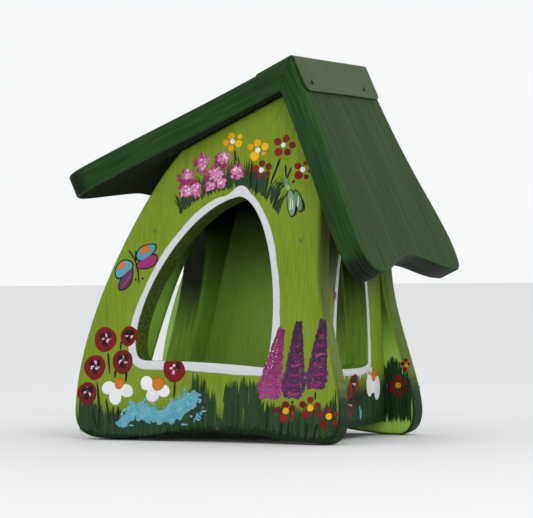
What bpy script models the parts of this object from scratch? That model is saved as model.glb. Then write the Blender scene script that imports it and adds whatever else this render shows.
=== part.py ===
"""Crooked painted bird feeder house, modelled in metres with +Z up.

The front faces -Y and the viewer's right is +X. Two leaning gable panels of
the same outline stand on their flared feet and carry two roof boards, which
meet at a right angle in a mitred ridge. The whole roof is turned to the right,
so the left slope is shallow and long and the right slope steep and short.
Two side walls with arched windows and a floor board sit between the panels.
A thin bent strip caps the ridge, and nails hold the boards together.
"""

import math

import bmesh
import bpy
from mathutils import Euler, Matrix, Vector
from mathutils.geometry import interpolate_bezier

# Overall sizes
RIDGE_HEIGHT = 0.272        # top corner of the two roof boards above the feet
RIDGE_OFFSET = 0.0590       # ridge to the right of the middle of the feet
RIDGE_DEPTH = 0.1245        # length of the ridge, front to back
BASE_DEPTH = 0.150          # front face to rear face, at the feet
ROOF_SHIFT = -0.0023        # middle of the ridge, from the middle of the feet
FOOT_LEFT = 0.115           # how far the left foot reaches from the middle
FOOT_RIGHT = 0.100          # how far the right foot reaches

# Boards
BOARD = 0.018               # gable panels and roof boards
WALL = 0.018                # side walls
FLOOR = 0.012               # floor board
GAP = 0.0003                # clearance between touching pieces
EDGE_ROUND = 0.0025         # rounding of the panels' outer edges
ROOF_EDGE_ROUND = 0.0020    # rounding of the roof boards' edges

# Slopes
ROOF_TURN = math.radians(65.2)    # right slope below the horizontal
PANEL_LEAN = math.radians(5.4)    # each gable panel leans inward at its top
LEFT_WALL_LEAN = math.radians(17.0)

# Roof boards
RIGHT_SLOPE = 0.168         # ridge to eave, along the right slope
LEFT_SLOPE = 0.196          # ridge to eave, along the left slope
EAVE_SCALLOP = 0.0125       # depth of the hollow in each eave
RIGHT_EAVE_CORNER = 0.022   # size of an eave's rounded corners
LEFT_EAVE_CORNER = 0.015
FRONT_FLARE = 0.017         # how far the eaves reach out in front of the ridge's end
REAR_FLARE = 0.024          # and behind its other end

# Front opening, on the panel's face
OPENING_LEFT = 0.0650
OPENING_RIGHT = 0.0425
OPENING_SILL = 0.0570
OPENING_APEX_HEIGHT = 0.1745
OPENING_APEX_OFFSET = 0.0155

# Side walls and their windows
RIGHT_WALL_FACE = 0.0775    # outer face, from the middle of the feet
LEFT_WALL_FOOT = 0.1087     # outer face at the height of the feet
WALL_FOOT = 0.0070          # lowest point of a side wall's curved lower edge
WALL_FOOT_RISE = 0.0055     # its ends are this much higher
WINDOW_SILL = 0.050
WINDOW_HALF = 0.0270
WINDOW_APEX = 0.168
WINDOW_FORWARD = 0.0035     # the windows stand this far in front of the walls' middle
FLOOR_TOP = 0.040

# Ridge cap
CAP_INSET = 0.003           # its front edge, behind the boards' front end
CAP_THICKNESS = 0.0012
CAP_RIGHT_LEG = 0.0272
CAP_LEFT_LEG = 0.0330
CAP_CORNER = 0.0050

# Nails
NAIL_SHANK = 0.0008         # shank radius
NAIL_HEAD = 0.0017          # head radius
NAIL_HEAD_THICKNESS = 0.0008
NAIL_LENGTH = 0.031
CAP_NAIL_REACH = BOARD + 0.0020     # from the ridge, down either slope, clear of the other board
CAP_NAIL_SHIFT = 0.0045     # right nails this far in front of a panel's middle, left ones behind
LOWER_NAILS = 0.024         # height of the wall nails
UPPER_NAILS_LEFT = 0.151
UPPER_NAILS_RIGHT = 0.1425
RIGHT_NAILS_INSET = 0.0030  # right wall nails, inward of the wall's middle
FLOOR_NAIL_PLACES = (-0.045, 0.025)

STEPS = 14                  # points along one curved stretch of an outline
ROUND_SIDES = 12            # sides of a nail
FAR = 0.40                  # reach of the trimming blocks

COLOURS = {
    "lime_paint": ((0.178, 0.281, 0.026), 0.62, 0.0),
    "wall_paint": ((0.120, 0.205, 0.030), 0.68, 0.0),
    "roof_paint": ((0.066, 0.107, 0.046), 0.70, 0.0),
    "cap_paint": ((0.085, 0.133, 0.068), 0.60, 0.0),
    "nail_steel": ((0.060, 0.085, 0.050), 0.45, 0.7),
}


def clear_scene():
    for thing in list(bpy.data.objects):
        bpy.data.objects.remove(thing, do_unlink=True)


def paint(name):
    colour, roughness, metallic = COLOURS[name]
    material = bpy.data.materials.new(name)
    material.use_nodes = True
    shader = material.node_tree.nodes["Principled BSDF"]
    shader.inputs["Base Color"].default_value = (*colour, 1.0)
    shader.inputs["Roughness"].default_value = roughness
    shader.inputs["Metallic"].default_value = metallic
    return material


def add_object(name, mesh, parent=None, material=None):
    thing = bpy.data.objects.new(name, mesh)
    bpy.context.scene.collection.objects.link(thing)
    thing.parent = parent
    if material:
        mesh.materials.append(material)
    return thing


def add_empty(name, location=(0.0, 0.0, 0.0), rotation=(0.0, 0.0, 0.0), parent=None):
    empty = bpy.data.objects.new(name, None)
    bpy.context.scene.collection.objects.link(empty)
    empty.parent = parent
    empty.location = location
    empty.rotation_euler = rotation
    return empty


def curve(start, handle_a, handle_b, end, steps=STEPS):
    """Points of one Bezier stretch, without its last point."""
    knots = [Vector((*p, 0.0)) for p in (start, handle_a, handle_b, end)]
    points = interpolate_bezier(*knots, steps + 1)
    return [(p.x, p.y) for p in points[:-1]]


def prism(name, outline, depth, parent=None, material=None, rim=0.0, flat=False):
    """A board: an outline, counter-clockwise, drawn out to its depth.

    The outline is (x, z) seen from the front and is drawn out along +Y, or
    (x, y) seen from above and drawn out along -Z when flat is set. A rim
    above zero rounds the edges of both faces.
    """
    shape = bmesh.new()
    if flat:
        corners = [shape.verts.new((x, y, 0.0)) for x, y in outline]
        travel = Vector((0.0, 0.0, -depth))
    else:
        corners = [shape.verts.new((x, 0.0, z)) for x, z in outline]
        travel = Vector((0.0, depth, 0.0))
    face = shape.faces.new(corners)
    grown = bmesh.ops.extrude_face_region(shape, geom=[face])
    moved = [item for item in grown["geom"] if isinstance(item, bmesh.types.BMVert)]
    bmesh.ops.translate(shape, verts=moved, vec=travel)
    bmesh.ops.recalc_face_normals(shape, faces=shape.faces)
    if rim > 0.0:
        rings = [edge for edge in shape.edges if abs((edge.verts[0].co - edge.verts[1].co).dot(travel)) < 1e-9]
        bmesh.ops.bevel(shape, geom=rings, offset=rim, segments=2, profile=0.5, affect="EDGES")
    mesh = bpy.data.meshes.new(name)
    shape.to_mesh(mesh)
    shape.free()
    return add_object(name, mesh, parent, material)


def make_cutter(thing):
    thing.hide_render = True
    thing.display_type = "WIRE"
    return thing


def carve(thing, cutter, operation="DIFFERENCE"):
    modifier = thing.modifiers.new(cutter.name, "BOOLEAN")
    modifier.operation = operation
    modifier.object = cutter
    modifier.solver = "EXACT"


# ---------------------------------------------------------------- outlines

def gable_outline():
    """The panels' outline: flared feet, sides that bow inward, an open top for the roof to trim."""
    top = RIDGE_HEIGHT + BOARD
    shoulder = FOOT_LEFT * 0.35
    right_side = FOOT_RIGHT * 0.80
    outline = curve((-0.088, 0.0), (-0.055, 0.0), (-0.045, 0.007), (-0.004, 0.007))
    outline += curve((-0.004, 0.007), (0.040, 0.007), (0.055, 0.0), (0.086, 0.0))
    outline += curve((0.086, 0.0), (0.096, 0.0), (FOOT_RIGHT, 0.009), (FOOT_RIGHT, 0.019), 7)
    outline += curve((FOOT_RIGHT, 0.019), (FOOT_RIGHT - 0.001, 0.046), (right_side, 0.086),
                     (right_side, 0.125))
    inward = (top - 0.203) * (0.064 - shoulder) / (0.203 - 0.176)     # the left side runs straight on
    outline += [(right_side, 0.125), (right_side, top), (min(inward - shoulder, 0.6 * right_side), top)]
    outline += curve((-shoulder, 0.203), (-0.064, 0.176), (-FOOT_LEFT, 0.090), (-FOOT_LEFT, 0.022), 20)
    outline += curve((-FOOT_LEFT, 0.022), (-FOOT_LEFT, 0.005), (-0.106, 0.0), (-0.088, 0.0), 8)
    return outline


def opening_outline():
    """The front opening: a lopsided pointed arch above a sill with small round corners."""
    left = (-OPENING_LEFT, OPENING_SILL + 0.012)
    right = (OPENING_RIGHT, OPENING_SILL + 0.002)
    apex = (OPENING_APEX_OFFSET, OPENING_APEX_HEIGHT)
    outline = [(OPENING_RIGHT - 0.003, OPENING_SILL - 0.004)]
    outline += curve(right, (right[0] + 0.0085, 0.110), (apex[0] + 0.021, apex[1] - 0.003), apex, 16)
    outline += curve(apex, (apex[0] - 0.040, apex[1] - 0.006), (left[0] - 0.001, 0.105), left, 18)
    outline += curve(left, (left[0] + 0.001, OPENING_SILL), (left[0] + 0.005, OPENING_SILL),
                     (left[0] + 0.014, OPENING_SILL), 6)
    outline += [(left[0] + 0.014, OPENING_SILL)]
    return outline


def window_outline():
    """A side window: a pointed arch, symmetric about its own middle."""
    low = WINDOW_SILL + 0.003
    outline = curve((0.0, WINDOW_SILL), (0.010, WINDOW_SILL), (0.022, WINDOW_SILL), (WINDOW_HALF, low), 3)
    outline += curve((WINDOW_HALF, low), (WINDOW_HALF + 0.0005, 0.090), (0.0215, WINDOW_APEX - 0.028),
                     (0.0, WINDOW_APEX), 14)
    outline.append((0.0, WINDOW_APEX))
    return outline + [(-x, z) for x, z in reversed(outline[1:-1])]


def roof_outline(length, corner):
    """A roof board from above: straight ridge, flared sides, rounded corners and a hollowed eave."""
    front = -FRONT_FLARE
    rear = RIDGE_DEPTH + REAR_FLARE
    middle = RIDGE_DEPTH / 2.0
    hollow = length - EAVE_SCALLOP
    turn = length - 1.25 * corner
    outline = curve((0.0, 0.0), (0.45 * length, -0.001), (0.55 * length, front + 0.004), (turn, front))
    outline += curve((turn, front), (length - 0.3 * corner, front), (length, front + 0.3 * corner),
                     (length, front + corner), 8)
    outline += curve((length, front + corner), (length - 0.001, front + 1.9 * corner),
                     (hollow, middle - corner), (hollow, middle))
    outline += curve((hollow, middle), (hollow, middle + corner),
                     (length - 0.002, rear - 1.9 * corner), (length - 0.002, rear - 0.6 * corner))
    outline += curve((length - 0.002, rear - 0.6 * corner), (length, rear - 0.1 * corner),
                     (length - 0.5 * corner, rear), (turn, rear), 8)
    outline += curve((turn, rear), (0.60 * length, rear - 0.006), (0.50 * length, RIDGE_DEPTH + 0.001),
                     (0.0, RIDGE_DEPTH))
    return outline + [(0.0, RIDGE_DEPTH)]


# ---------------------------------------------------------------- frames

def wall_middle(side, height):
    """Middle of a side wall's thickness, across the house, at a height."""
    if side == "right":
        return RIGHT_WALL_FACE - WALL / 2.0
    lean = math.tan(LEFT_WALL_LEAN) * height
    return -LEFT_WALL_FOOT + WALL / 2.0 / math.cos(LEFT_WALL_LEAN) + lean


def wall_inner(side, height):
    """Inner face of a side wall, across the house, at a height."""
    if side == "right":
        return RIGHT_WALL_FACE - WALL
    return 2.0 * wall_middle(side, height) + LEFT_WALL_FOOT - math.tan(LEFT_WALL_LEAN) * height


def panel_inner(height):
    """Distance from the middle of the house to a gable panel's inner face, at a height."""
    return BASE_DEPTH / 2.0 - BOARD / math.cos(PANEL_LEAN) - math.tan(PANEL_LEAN) * height


def build():
    clear_scene()
    paints = {name: paint(name) for name in COLOURS}
    root = add_empty("house_frame")
    front = add_empty("front_frame", (0.0, -BASE_DEPTH / 2.0, 0.0), (-PANEL_LEAN, 0.0, 0.0), root)
    rear = add_empty("rear_frame", (0.0, BASE_DEPTH / 2.0, 0.0), (PANEL_LEAN, 0.0, 0.0), root)
    roof = add_empty("roof_frame", (RIDGE_OFFSET, ROOF_SHIFT - RIDGE_DEPTH / 2.0, RIDGE_HEIGHT),
                     (0.0, ROOF_TURN, 0.0), root)

    trims = trimming_blocks(root, roof)
    nails = nail_places(front, rear, roof)
    holes = pilot_holes(root, nails)

    gable_panels(front, rear, paints["lime_paint"], trims, holes)
    side_walls(root, paints["wall_paint"], trims, holes)
    floor_board(root, paints["wall_paint"], trims, holes)
    roof_boards(roof, paints["roof_paint"], trims, holes)
    ridge_cap(roof, paints["cap_paint"], holes)
    add_nails(nails, paints["nail_steel"])
    settle(root)


# ---------------------------------------------------------------- cutters

def trimming_blocks(root, roof):
    """Blocks that trim boards where they meet: the space above the roof's underside, the space
    between the panels, and the two halves of the mitre."""
    inside = BOARD + GAP
    above = [(inside, -inside), (FAR, -inside), (FAR, FAR), (-FAR, FAR), (-FAR, -FAR), (inside, -FAR)]
    roof_block = prism("roof_block", above, 2.0 * FAR, roof)
    roof_block.location.y = -FAR / 2.0

    slack = GAP / math.cos(PANEL_LEAN)
    low = panel_inner(-FAR / 4.0) - slack
    high = panel_inner(FAR) - slack
    between = [(-low, -FAR / 4.0), (low, -FAR / 4.0), (high, FAR), (-high, FAR)]
    inner_block = prism("inner_block", between, FAR, root)
    inner_block.rotation_euler.z = math.pi / 2.0
    inner_block.location.x = FAR / 2.0

    half = GAP * 0.75
    reach = 3.0 * BOARD
    mitre_left = prism("mitre_left", [(-reach + half, reach), (-reach, -reach), (reach + half, -reach)], FAR, roof)
    mitre_right = prism("mitre_right", [(-reach - half, reach), (reach - half, -reach), (reach, reach)], FAR, roof)
    for block in (mitre_left, mitre_right):
        block.location.y = -FAR / 4.0
    blocks = (roof_block, inner_block, mitre_left, mitre_right)
    return {block.name: make_cutter(block) for block in blocks}


def nail_places(front, rear, roof):
    """Every nail: its name, the frame that carries it, its place there and the way it points."""
    outward = {front: (math.pi / 2.0, 0.0, 0.0), rear: (-math.pi / 2.0, 0.0, 0.0)}
    wall_nails = (("left", "lower", LOWER_NAILS), ("left", "upper", UPPER_NAILS_LEFT),
                  ("right", "lower", LOWER_NAILS), ("right", "upper", UPPER_NAILS_RIGHT))
    places = []
    for frame, panel, face in ((front, "front", -GAP), (rear, "rear", GAP)):
        for side, level, height in wall_nails:
            inset = RIGHT_NAILS_INSET if side == "right" else 0.0
            spot = (wall_middle(side, height) - inset, face, height)
            places.append((f"{panel}_nail_{side}_{level}", frame, spot, outward[frame]))
        for side, place in zip(("left", "right"), FLOOR_NAIL_PLACES):
            spot = (place, face, FLOOR_TOP - FLOOR / 2.0 + math.sin(PANEL_LEAN) * BOARD)
            places.append((f"{panel}_floor_nail_{side}", frame, spot, outward[frame]))

    top = GAP + CAP_THICKNESS + GAP
    level = RIDGE_HEIGHT - 2.0 * BOARD
    ridge_middle = RIDGE_DEPTH / 2.0 - ROOF_SHIFT
    for panel, way in (("front", -1.0), ("rear", 1.0)):
        middle = ridge_middle + way * (panel_inner(level) + BOARD / 2.0)
        right = (CAP_NAIL_REACH, middle - CAP_NAIL_SHIFT, top)
        left = (-top, middle + CAP_NAIL_SHIFT, -CAP_NAIL_REACH)
        places.append((f"cap_nail_right_{panel}", roof, right, (0.0, 0.0, 0.0)))
        places.append((f"cap_nail_left_{panel}", roof, left, (0.0, -math.pi / 2.0, 0.0)))
    return places


def pilot_holes(root, nails):
    """One cutter with a round hole for every nail, a clearance wider and longer than its shank."""
    shape = bmesh.new()
    radius = NAIL_SHANK + GAP
    length = NAIL_LENGTH + GAP + NAIL_HEAD
    bpy.context.view_layer.update()
    for _, frame, spot, turn in nails:
        local = Matrix.Translation(spot) @ Euler(turn).to_matrix().to_4x4()
        drop = Matrix.Translation((0.0, 0.0, NAIL_HEAD - length / 2.0))
        bmesh.ops.create_cone(shape, cap_ends=True, segments=ROUND_SIDES, radius1=radius, radius2=radius,
                              depth=length, matrix=frame.matrix_world @ local @ drop)
    mesh = bpy.data.meshes.new("pilot_holes")
    shape.to_mesh(mesh)
    shape.free()
    return make_cutter(add_object("pilot_holes", mesh, root))


# ---------------------------------------------------------------- pieces

def gable_panels(front, rear, material, trims, holes):
    """Front panel with its arched opening, and the closed rear panel, of one outline."""
    outline = gable_outline()
    front_panel = prism("front_panel", outline, BOARD, front, material, EDGE_ROUND)
    rear_panel = prism("rear_panel", outline, BOARD, rear, material, EDGE_ROUND)
    rear_panel.location.y = -BOARD
    opening = make_cutter(prism("opening_cutter", opening_outline(), 3.0 * BOARD, front))
    opening.location.y = -BOARD
    for panel in (front_panel, rear_panel):
        carve(panel, trims["roof_block"])
        carve(panel, holes)
    carve(front_panel, opening)


def side_walls(root, material, trims, holes):
    """Upright right wall and leaning left wall, each with a window and a lower edge that
    curves up at its ends; they fit between the panels and under the roof."""
    end = BASE_DEPTH / 2.0
    rise = WALL_FOOT + WALL_FOOT_RISE
    lower = curve((-end, rise), (-end / 2.0, WALL_FOOT), (-end / 3.0, WALL_FOOT), (0.0, WALL_FOOT), 6)
    lower += curve((0.0, WALL_FOOT), (end / 3.0, WALL_FOOT), (end / 2.0, WALL_FOOT), (end, rise), 6)
    outline = lower + [(end, rise), (end, RIDGE_HEIGHT), (-end, RIDGE_HEIGHT)]
    stands = (("right", RIGHT_WALL_FACE, (0.0, 0.0, math.pi / 2.0), -WINDOW_FORWARD),
              ("left", -LEFT_WALL_FOOT, (-LEFT_WALL_LEAN, 0.0, -math.pi / 2.0), WINDOW_FORWARD))
    for side, place, turn, forward in stands:
        frame = add_empty(f"{side}_wall_frame", (place, 0.0, 0.0), turn, root)
        wall = prism(f"{side}_side_panel", outline, WALL, frame, material)
        window = make_cutter(prism(f"{side}_window_cutter", window_outline(), 3.0 * WALL, frame))
        window.location = (forward, -WALL, 0.0)
        carve(wall, trims["inner_block"], "INTERSECT")
        carve(wall, trims["roof_block"])
        carve(wall, window)
        carve(wall, holes)


def floor_board(root, material, trims, holes):
    """Floor board: its left edge is cut to the leaning wall."""
    slack = GAP / math.cos(LEFT_WALL_LEAN)
    under = FLOOR_TOP - FLOOR
    right = wall_inner("right", under) - GAP
    outline = [(wall_inner("left", under) + slack, under), (right, under), (right, FLOOR_TOP),
               (wall_inner("left", FLOOR_TOP) + slack, FLOOR_TOP)]
    board = prism("floor_panel", outline, BASE_DEPTH, root, material)
    board.location.y = -BASE_DEPTH / 2.0
    carve(board, trims["inner_block"], "INTERSECT")
    carve(board, holes)


def roof_boards(roof, material, trims, holes):
    """Right and left roof boards, mitred where they meet along the ridge."""
    right = prism("right_roof_board", roof_outline(RIGHT_SLOPE, RIGHT_EAVE_CORNER), BOARD, roof, material,
                  ROOF_EDGE_ROUND, flat=True)
    left = prism("left_roof_board", roof_outline(LEFT_SLOPE, LEFT_EAVE_CORNER), -BOARD, roof, material,
                 ROOF_EDGE_ROUND, flat=True)
    left.rotation_euler.y = math.pi / 2.0
    carve(right, trims["mitre_left"])
    carve(left, trims["mitre_right"])
    for board in (right, left):
        carve(board, holes)


def ridge_cap(roof, material, holes):
    """Strip of sheet bent over the ridge, with a leg on each slope and rounded corners."""
    outer = GAP + CAP_THICKNESS
    bend = CAP_THICKNESS * 0.9
    profile = [(-GAP, GAP), (CAP_RIGHT_LEG, GAP), (CAP_RIGHT_LEG, outer)]
    profile += curve((bend - outer, outer), (0.4 * bend - outer, outer), (-outer, outer - 0.4 * bend),
                     (-outer, outer - bend), 4)
    profile += [(-outer, outer - bend), (-outer, -CAP_LEFT_LEG), (-GAP, -CAP_LEFT_LEG)]
    cap = prism("ridge_cap", profile, RIDGE_DEPTH - CAP_INSET, roof, material)
    cap.location.y = CAP_INSET
    shape = bmesh.new()
    shape.from_mesh(cap.data)
    tips = []
    for edge in shape.edges:
        first, second = (vertex.co for vertex in edge.verts)
        short = abs((first - second).length - CAP_THICKNESS) < 1e-6
        tip = min(first.x, second.x) > CAP_RIGHT_LEG - GAP or max(first.z, second.z) < GAP - CAP_LEFT_LEG
        if short and tip:
            tips.append(edge)
    bmesh.ops.bevel(shape, geom=tips, offset=CAP_CORNER, segments=5, profile=0.5, affect="EDGES")
    shape.to_mesh(cap.data)
    shape.free()
    carve(cap, holes)


def nail_mesh():
    """A turned nail pointing down: round head with its underside at the origin, shank and point."""
    profile = [(NAIL_HEAD, NAIL_HEAD_THICKNESS), (NAIL_HEAD, 0.0), (NAIL_SHANK, 0.0),
               (NAIL_SHANK, -NAIL_LENGTH + 2.0 * NAIL_SHANK)]
    shape = bmesh.new()
    rings = []
    for radius, height in profile:
        ring = []
        for step in range(ROUND_SIDES):
            angle = 2.0 * math.pi * step / ROUND_SIDES
            ring.append(shape.verts.new((radius * math.cos(angle), radius * math.sin(angle), height)))
        rings.append(ring)
    point = shape.verts.new((0.0, 0.0, -NAIL_LENGTH))
    for step in range(ROUND_SIDES):
        after = (step + 1) % ROUND_SIDES
        for upper, lower in zip(rings[:-1], rings[1:]):
            shape.faces.new((upper[step], lower[step], lower[after], upper[after]))
        shape.faces.new((rings[-1][step], point, rings[-1][after]))
    shape.faces.new(rings[0])
    bmesh.ops.recalc_face_normals(shape, faces=shape.faces)
    mesh = bpy.data.meshes.new("nail")
    shape.to_mesh(mesh)
    shape.free()
    mesh.shade_smooth()
    mesh.set_sharp_from_angle(angle=math.radians(35.0))
    return mesh


def add_nails(nails, material):
    mesh = nail_mesh()
    mesh.materials.append(material)
    for name, frame, spot, turn in nails:
        nail = add_object(name, mesh, frame)
        nail.location = spot
        nail.rotation_euler = turn


# ---------------------------------------------------------------- origin

def settle(root):
    """Put the origin under the middle of the whole house, on the surface it stands on."""
    bpy.context.view_layer.update()
    depsgraph = bpy.context.evaluated_depsgraph_get()
    corners = []
    for thing in bpy.data.objects:
        if thing.type == "MESH" and not thing.hide_render:
            solid = thing.evaluated_get(depsgraph)
            mesh = solid.to_mesh()
            corners += [solid.matrix_world @ vertex.co for vertex in mesh.vertices]
            solid.to_mesh_clear()
    low = [min(corner[axis] for corner in corners) for axis in range(3)]
    high = [max(corner[axis] for corner in corners) for axis in range(3)]
    root.location = (-(low[0] + high[0]) / 2.0, -(low[1] + high[1]) / 2.0, -low[2])
    bpy.context.view_layer.update()


build()
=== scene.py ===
"""Hand-painted open bird feeder house: crooked lime green gables, leaning walls, a steep dark green roof."""
import math

import bpy
import numpy as np
from mathutils import Matrix, Vector


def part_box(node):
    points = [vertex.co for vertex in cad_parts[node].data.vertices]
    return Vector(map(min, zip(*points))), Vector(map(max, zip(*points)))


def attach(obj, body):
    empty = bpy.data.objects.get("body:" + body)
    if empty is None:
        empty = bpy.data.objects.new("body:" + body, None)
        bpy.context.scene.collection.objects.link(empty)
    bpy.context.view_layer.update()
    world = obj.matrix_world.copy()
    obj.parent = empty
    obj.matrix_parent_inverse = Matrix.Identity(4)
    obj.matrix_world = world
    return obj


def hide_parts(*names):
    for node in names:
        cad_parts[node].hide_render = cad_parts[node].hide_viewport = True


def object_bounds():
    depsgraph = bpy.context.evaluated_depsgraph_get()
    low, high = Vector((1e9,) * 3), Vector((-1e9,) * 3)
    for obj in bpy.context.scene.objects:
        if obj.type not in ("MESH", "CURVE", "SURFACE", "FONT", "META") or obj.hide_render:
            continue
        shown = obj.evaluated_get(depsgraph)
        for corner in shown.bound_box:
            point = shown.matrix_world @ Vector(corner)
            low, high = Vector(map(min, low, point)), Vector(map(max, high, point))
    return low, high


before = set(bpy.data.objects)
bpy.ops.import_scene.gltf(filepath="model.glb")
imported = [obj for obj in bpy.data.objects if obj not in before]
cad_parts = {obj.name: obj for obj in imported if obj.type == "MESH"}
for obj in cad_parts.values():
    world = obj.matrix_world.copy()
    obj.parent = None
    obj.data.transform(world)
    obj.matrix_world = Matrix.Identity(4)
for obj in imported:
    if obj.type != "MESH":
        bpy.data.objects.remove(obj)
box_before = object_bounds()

MM = 0.001
BODY = "root"

# ---------------------------------------------------------------- sizes of the wooden parts, in metres

BOARD = 0.018
WALL = 0.018
WINDOW_FORWARD = 0.0035             # the windows stand this far in front of the walls' middle
GAP = 0.0003
LEAN = math.radians(5.4)            # gable panels, inward at the top
LEFT_WALL_LEAN = math.radians(17.0)
ROOF_TURN = math.radians(65.2)      # right slope below the horizontal
RIDGE = np.array([0.059, -0.06455, 0.272])
RIDGE_DEPTH = 0.1245
FOOT_LEFT = 0.115
SOLE = 0.00146                      # lowest rounded edge below the zero of the drawing
RIGHT_SLOPE = 0.168
LEFT_SLOPE = 0.196
CAP_REACH = (0.0272, 0.0330)        # right leg, left leg
MITRE_FADE = 0.06                   # the mitre's pull has died out this far down the slope
ROOF_TRIM = 0.0002                  # keeps the roof boards' curves inside their solids
PANEL_NAIL_SUNK = 0.00095           # the panels' nails are nearly flush
BORDER_LIFT = 0.22 * MM             # thickness of the white borders
BRUSHED_ROUGHNESS = 0.42

front_low = np.array(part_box("front_panel")[0])
rear_high = np.array(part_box("rear_panel")[1])
MIDDLE = np.array([front_low[0] + FOOT_LEFT, (front_low[1] + rear_high[1]) / 2.0, front_low[2] + SOLE])


def face(start, across, up, out):
    """A drawing plane on a board: its zero, its two drawing directions and the way it looks."""
    return tuple(np.array(v, float) for v in (MIDDLE + np.array(start), across, up, out))


def on_face(plane, a, b, depth=0.0):
    """Points of a drawing plane: zero + a * across + b * up, sunk into the board by the depth."""
    start, across, up, out = plane
    a, b, depth = np.broadcast_arrays(a, b, depth)
    return start + a[..., None] * across + b[..., None] * up - depth[..., None] * out


SIN, COS = math.sin(LEAN), math.cos(LEAN)
ROOF_SIN, ROOF_COS = math.sin(ROOF_TURN), math.cos(ROOF_TURN)
WALL_SIN, WALL_COS = math.sin(LEFT_WALL_LEAN), math.cos(LEFT_WALL_LEAN)
FRONT = face((0, -0.075, 0), (1, 0, 0), (0, SIN, COS), (0, -COS, SIN))
REAR = face((0, 0.075, 0), (1, 0, 0), (0, -SIN, COS), (0, COS, SIN))
REAR_INSIDE = face((0, 0.075 - BOARD * COS, -BOARD * SIN), (1, 0, 0), (0, -SIN, COS), (0, -COS, -SIN))
RIGHT_WALL = face((0.0775, 0, 0), (0, 1, 0), (0, 0, 1), (1, 0, 0))
LEFT_WALL = face((-0.1087, 0, 0), (0, -1, 0), (WALL_SIN, 0, WALL_COS), (-WALL_COS, 0, WALL_SIN))
ROOF_RIGHT = face(RIDGE, (ROOF_COS, 0, -ROOF_SIN), (0, 1, 0), (ROOF_SIN, 0, ROOF_COS))
ROOF_LEFT = face(RIDGE, (-ROOF_SIN, 0, -ROOF_COS), (0, 1, 0), (-ROOF_COS, 0, ROOF_SIN))


# ---------------------------------------------------------------- working with curves and waves

def ripple(x, y, seed):
    """Smooth hills of height -1 to 1 on a unit lattice: corner values hashed by a sine, blended by cubic
    easing."""
    x, y = np.broadcast_arrays(np.asarray(x, float), np.asarray(y, float))
    i, j = np.floor(x), np.floor(y)
    u, v = x - i, y - j
    u, v = u * u * (3.0 - 2.0 * u), v * v * (3.0 - 2.0 * v)

    def corner(p, q):
        wave = np.sin(p * 127.1 + q * 311.7 + seed * 74.7) * 43758.5453
        return 2.0 * (wave - np.floor(wave)) - 1.0

    low = corner(i, j) * (1.0 - u) + corner(i + 1.0, j) * u
    high = corner(i, j + 1.0) * (1.0 - u) + corner(i + 1.0, j + 1.0) * u
    return low * (1.0 - v) + high * v


def bezier(start, lead, follow, end):
    """A cubic curve: its four points weighted by the Bernstein terms of t, without the last point."""
    t = np.linspace(0.0, 1.0, 40, endpoint=False)[:, None]
    s = 1.0 - t
    p0, p1, p2, p3 = (np.array(p, float) for p in (start, lead, follow, end))
    return s ** 3 * p0 + 3.0 * s * s * t * p1 + 3.0 * s * t * t * p2 + t ** 3 * p3


def closed_curve(start, *stretches):
    """An outline of cubic stretches, each given by its two leads and its end."""
    parts = []
    for lead, follow, end in stretches:
        parts.append(bezier(start, lead, follow, end))
        start = end
    return np.concatenate(parts)


def evenly(outline, count):
    """The closed outline walked in equal steps of its own length."""
    ring = np.vstack([outline, outline[:1]])
    length = np.concatenate([[0.0], np.cumsum(np.linalg.norm(np.diff(ring, axis=0), axis=1))])
    place = np.linspace(0.0, length[-1], count, endpoint=False)
    return np.stack([np.interp(place, length, ring[:, k]) for k in (0, 1)], 1)


def outward(outline):
    """Unit directions pointing out of a closed outline, square to the chord through the two neighbours."""
    chord = np.roll(outline, -1, 0) - np.roll(outline, 1, 0)
    side = np.stack([chord[:, 1], -chord[:, 0]], 1)
    after = np.roll(outline, -1, 0)
    area = np.sum(outline[:, 0] * after[:, 1] - outline[:, 1] * after[:, 0])
    return np.sign(area) * side / np.maximum(np.linalg.norm(side, axis=1), 1e-9)[:, None]


def corner_distance(outline):
    """How far each point is along a closed outline from its nearest sharp corner."""
    before, after = outline - np.roll(outline, 1, 0), np.roll(outline, -1, 0) - outline
    bend = np.arctan2(before[:, 0] * after[:, 1] - before[:, 1] * after[:, 0], np.sum(before * after, axis=1))
    length = np.linalg.norm(after, axis=1)
    place = np.concatenate([[0.0], np.cumsum(length)[:-1]])
    sharp = place[np.abs(bend + np.roll(bend, -1)) > 0.5]
    if not len(sharp):
        return np.full(len(outline), 1.0)
    gap = np.abs(place[:, None] - sharp[None])
    return np.min(np.minimum(gap, length.sum() - gap), axis=1)


def cut_below(outline, corner, normal, gap):
    """The part of a closed outline on the low side of a line, with the crossing points put in."""
    side = (outline - corner) @ normal + gap
    next_side = np.roll(side, -1)
    crossing = (side > 0.0) != (next_side > 0.0)
    share = side / np.where(crossing, side - next_side, 1.0)
    met = outline + share[:, None] * (np.roll(outline, -1, 0) - outline)
    both = np.stack([outline, met], 1).reshape(-1, 2)
    return both[np.stack([side <= 0.0, crossing], 1).ravel()]


# ---------------------------------------------------------------- outlines of the boards

RIGHT_NORMAL = np.array([ROOF_SIN, ROOF_COS * COS])
LEFT_NORMAL = np.array([-ROOF_COS, ROOF_SIN * COS])
ROOF_CORNER = np.array([RIDGE[0], RIDGE[2] / COS])


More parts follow.
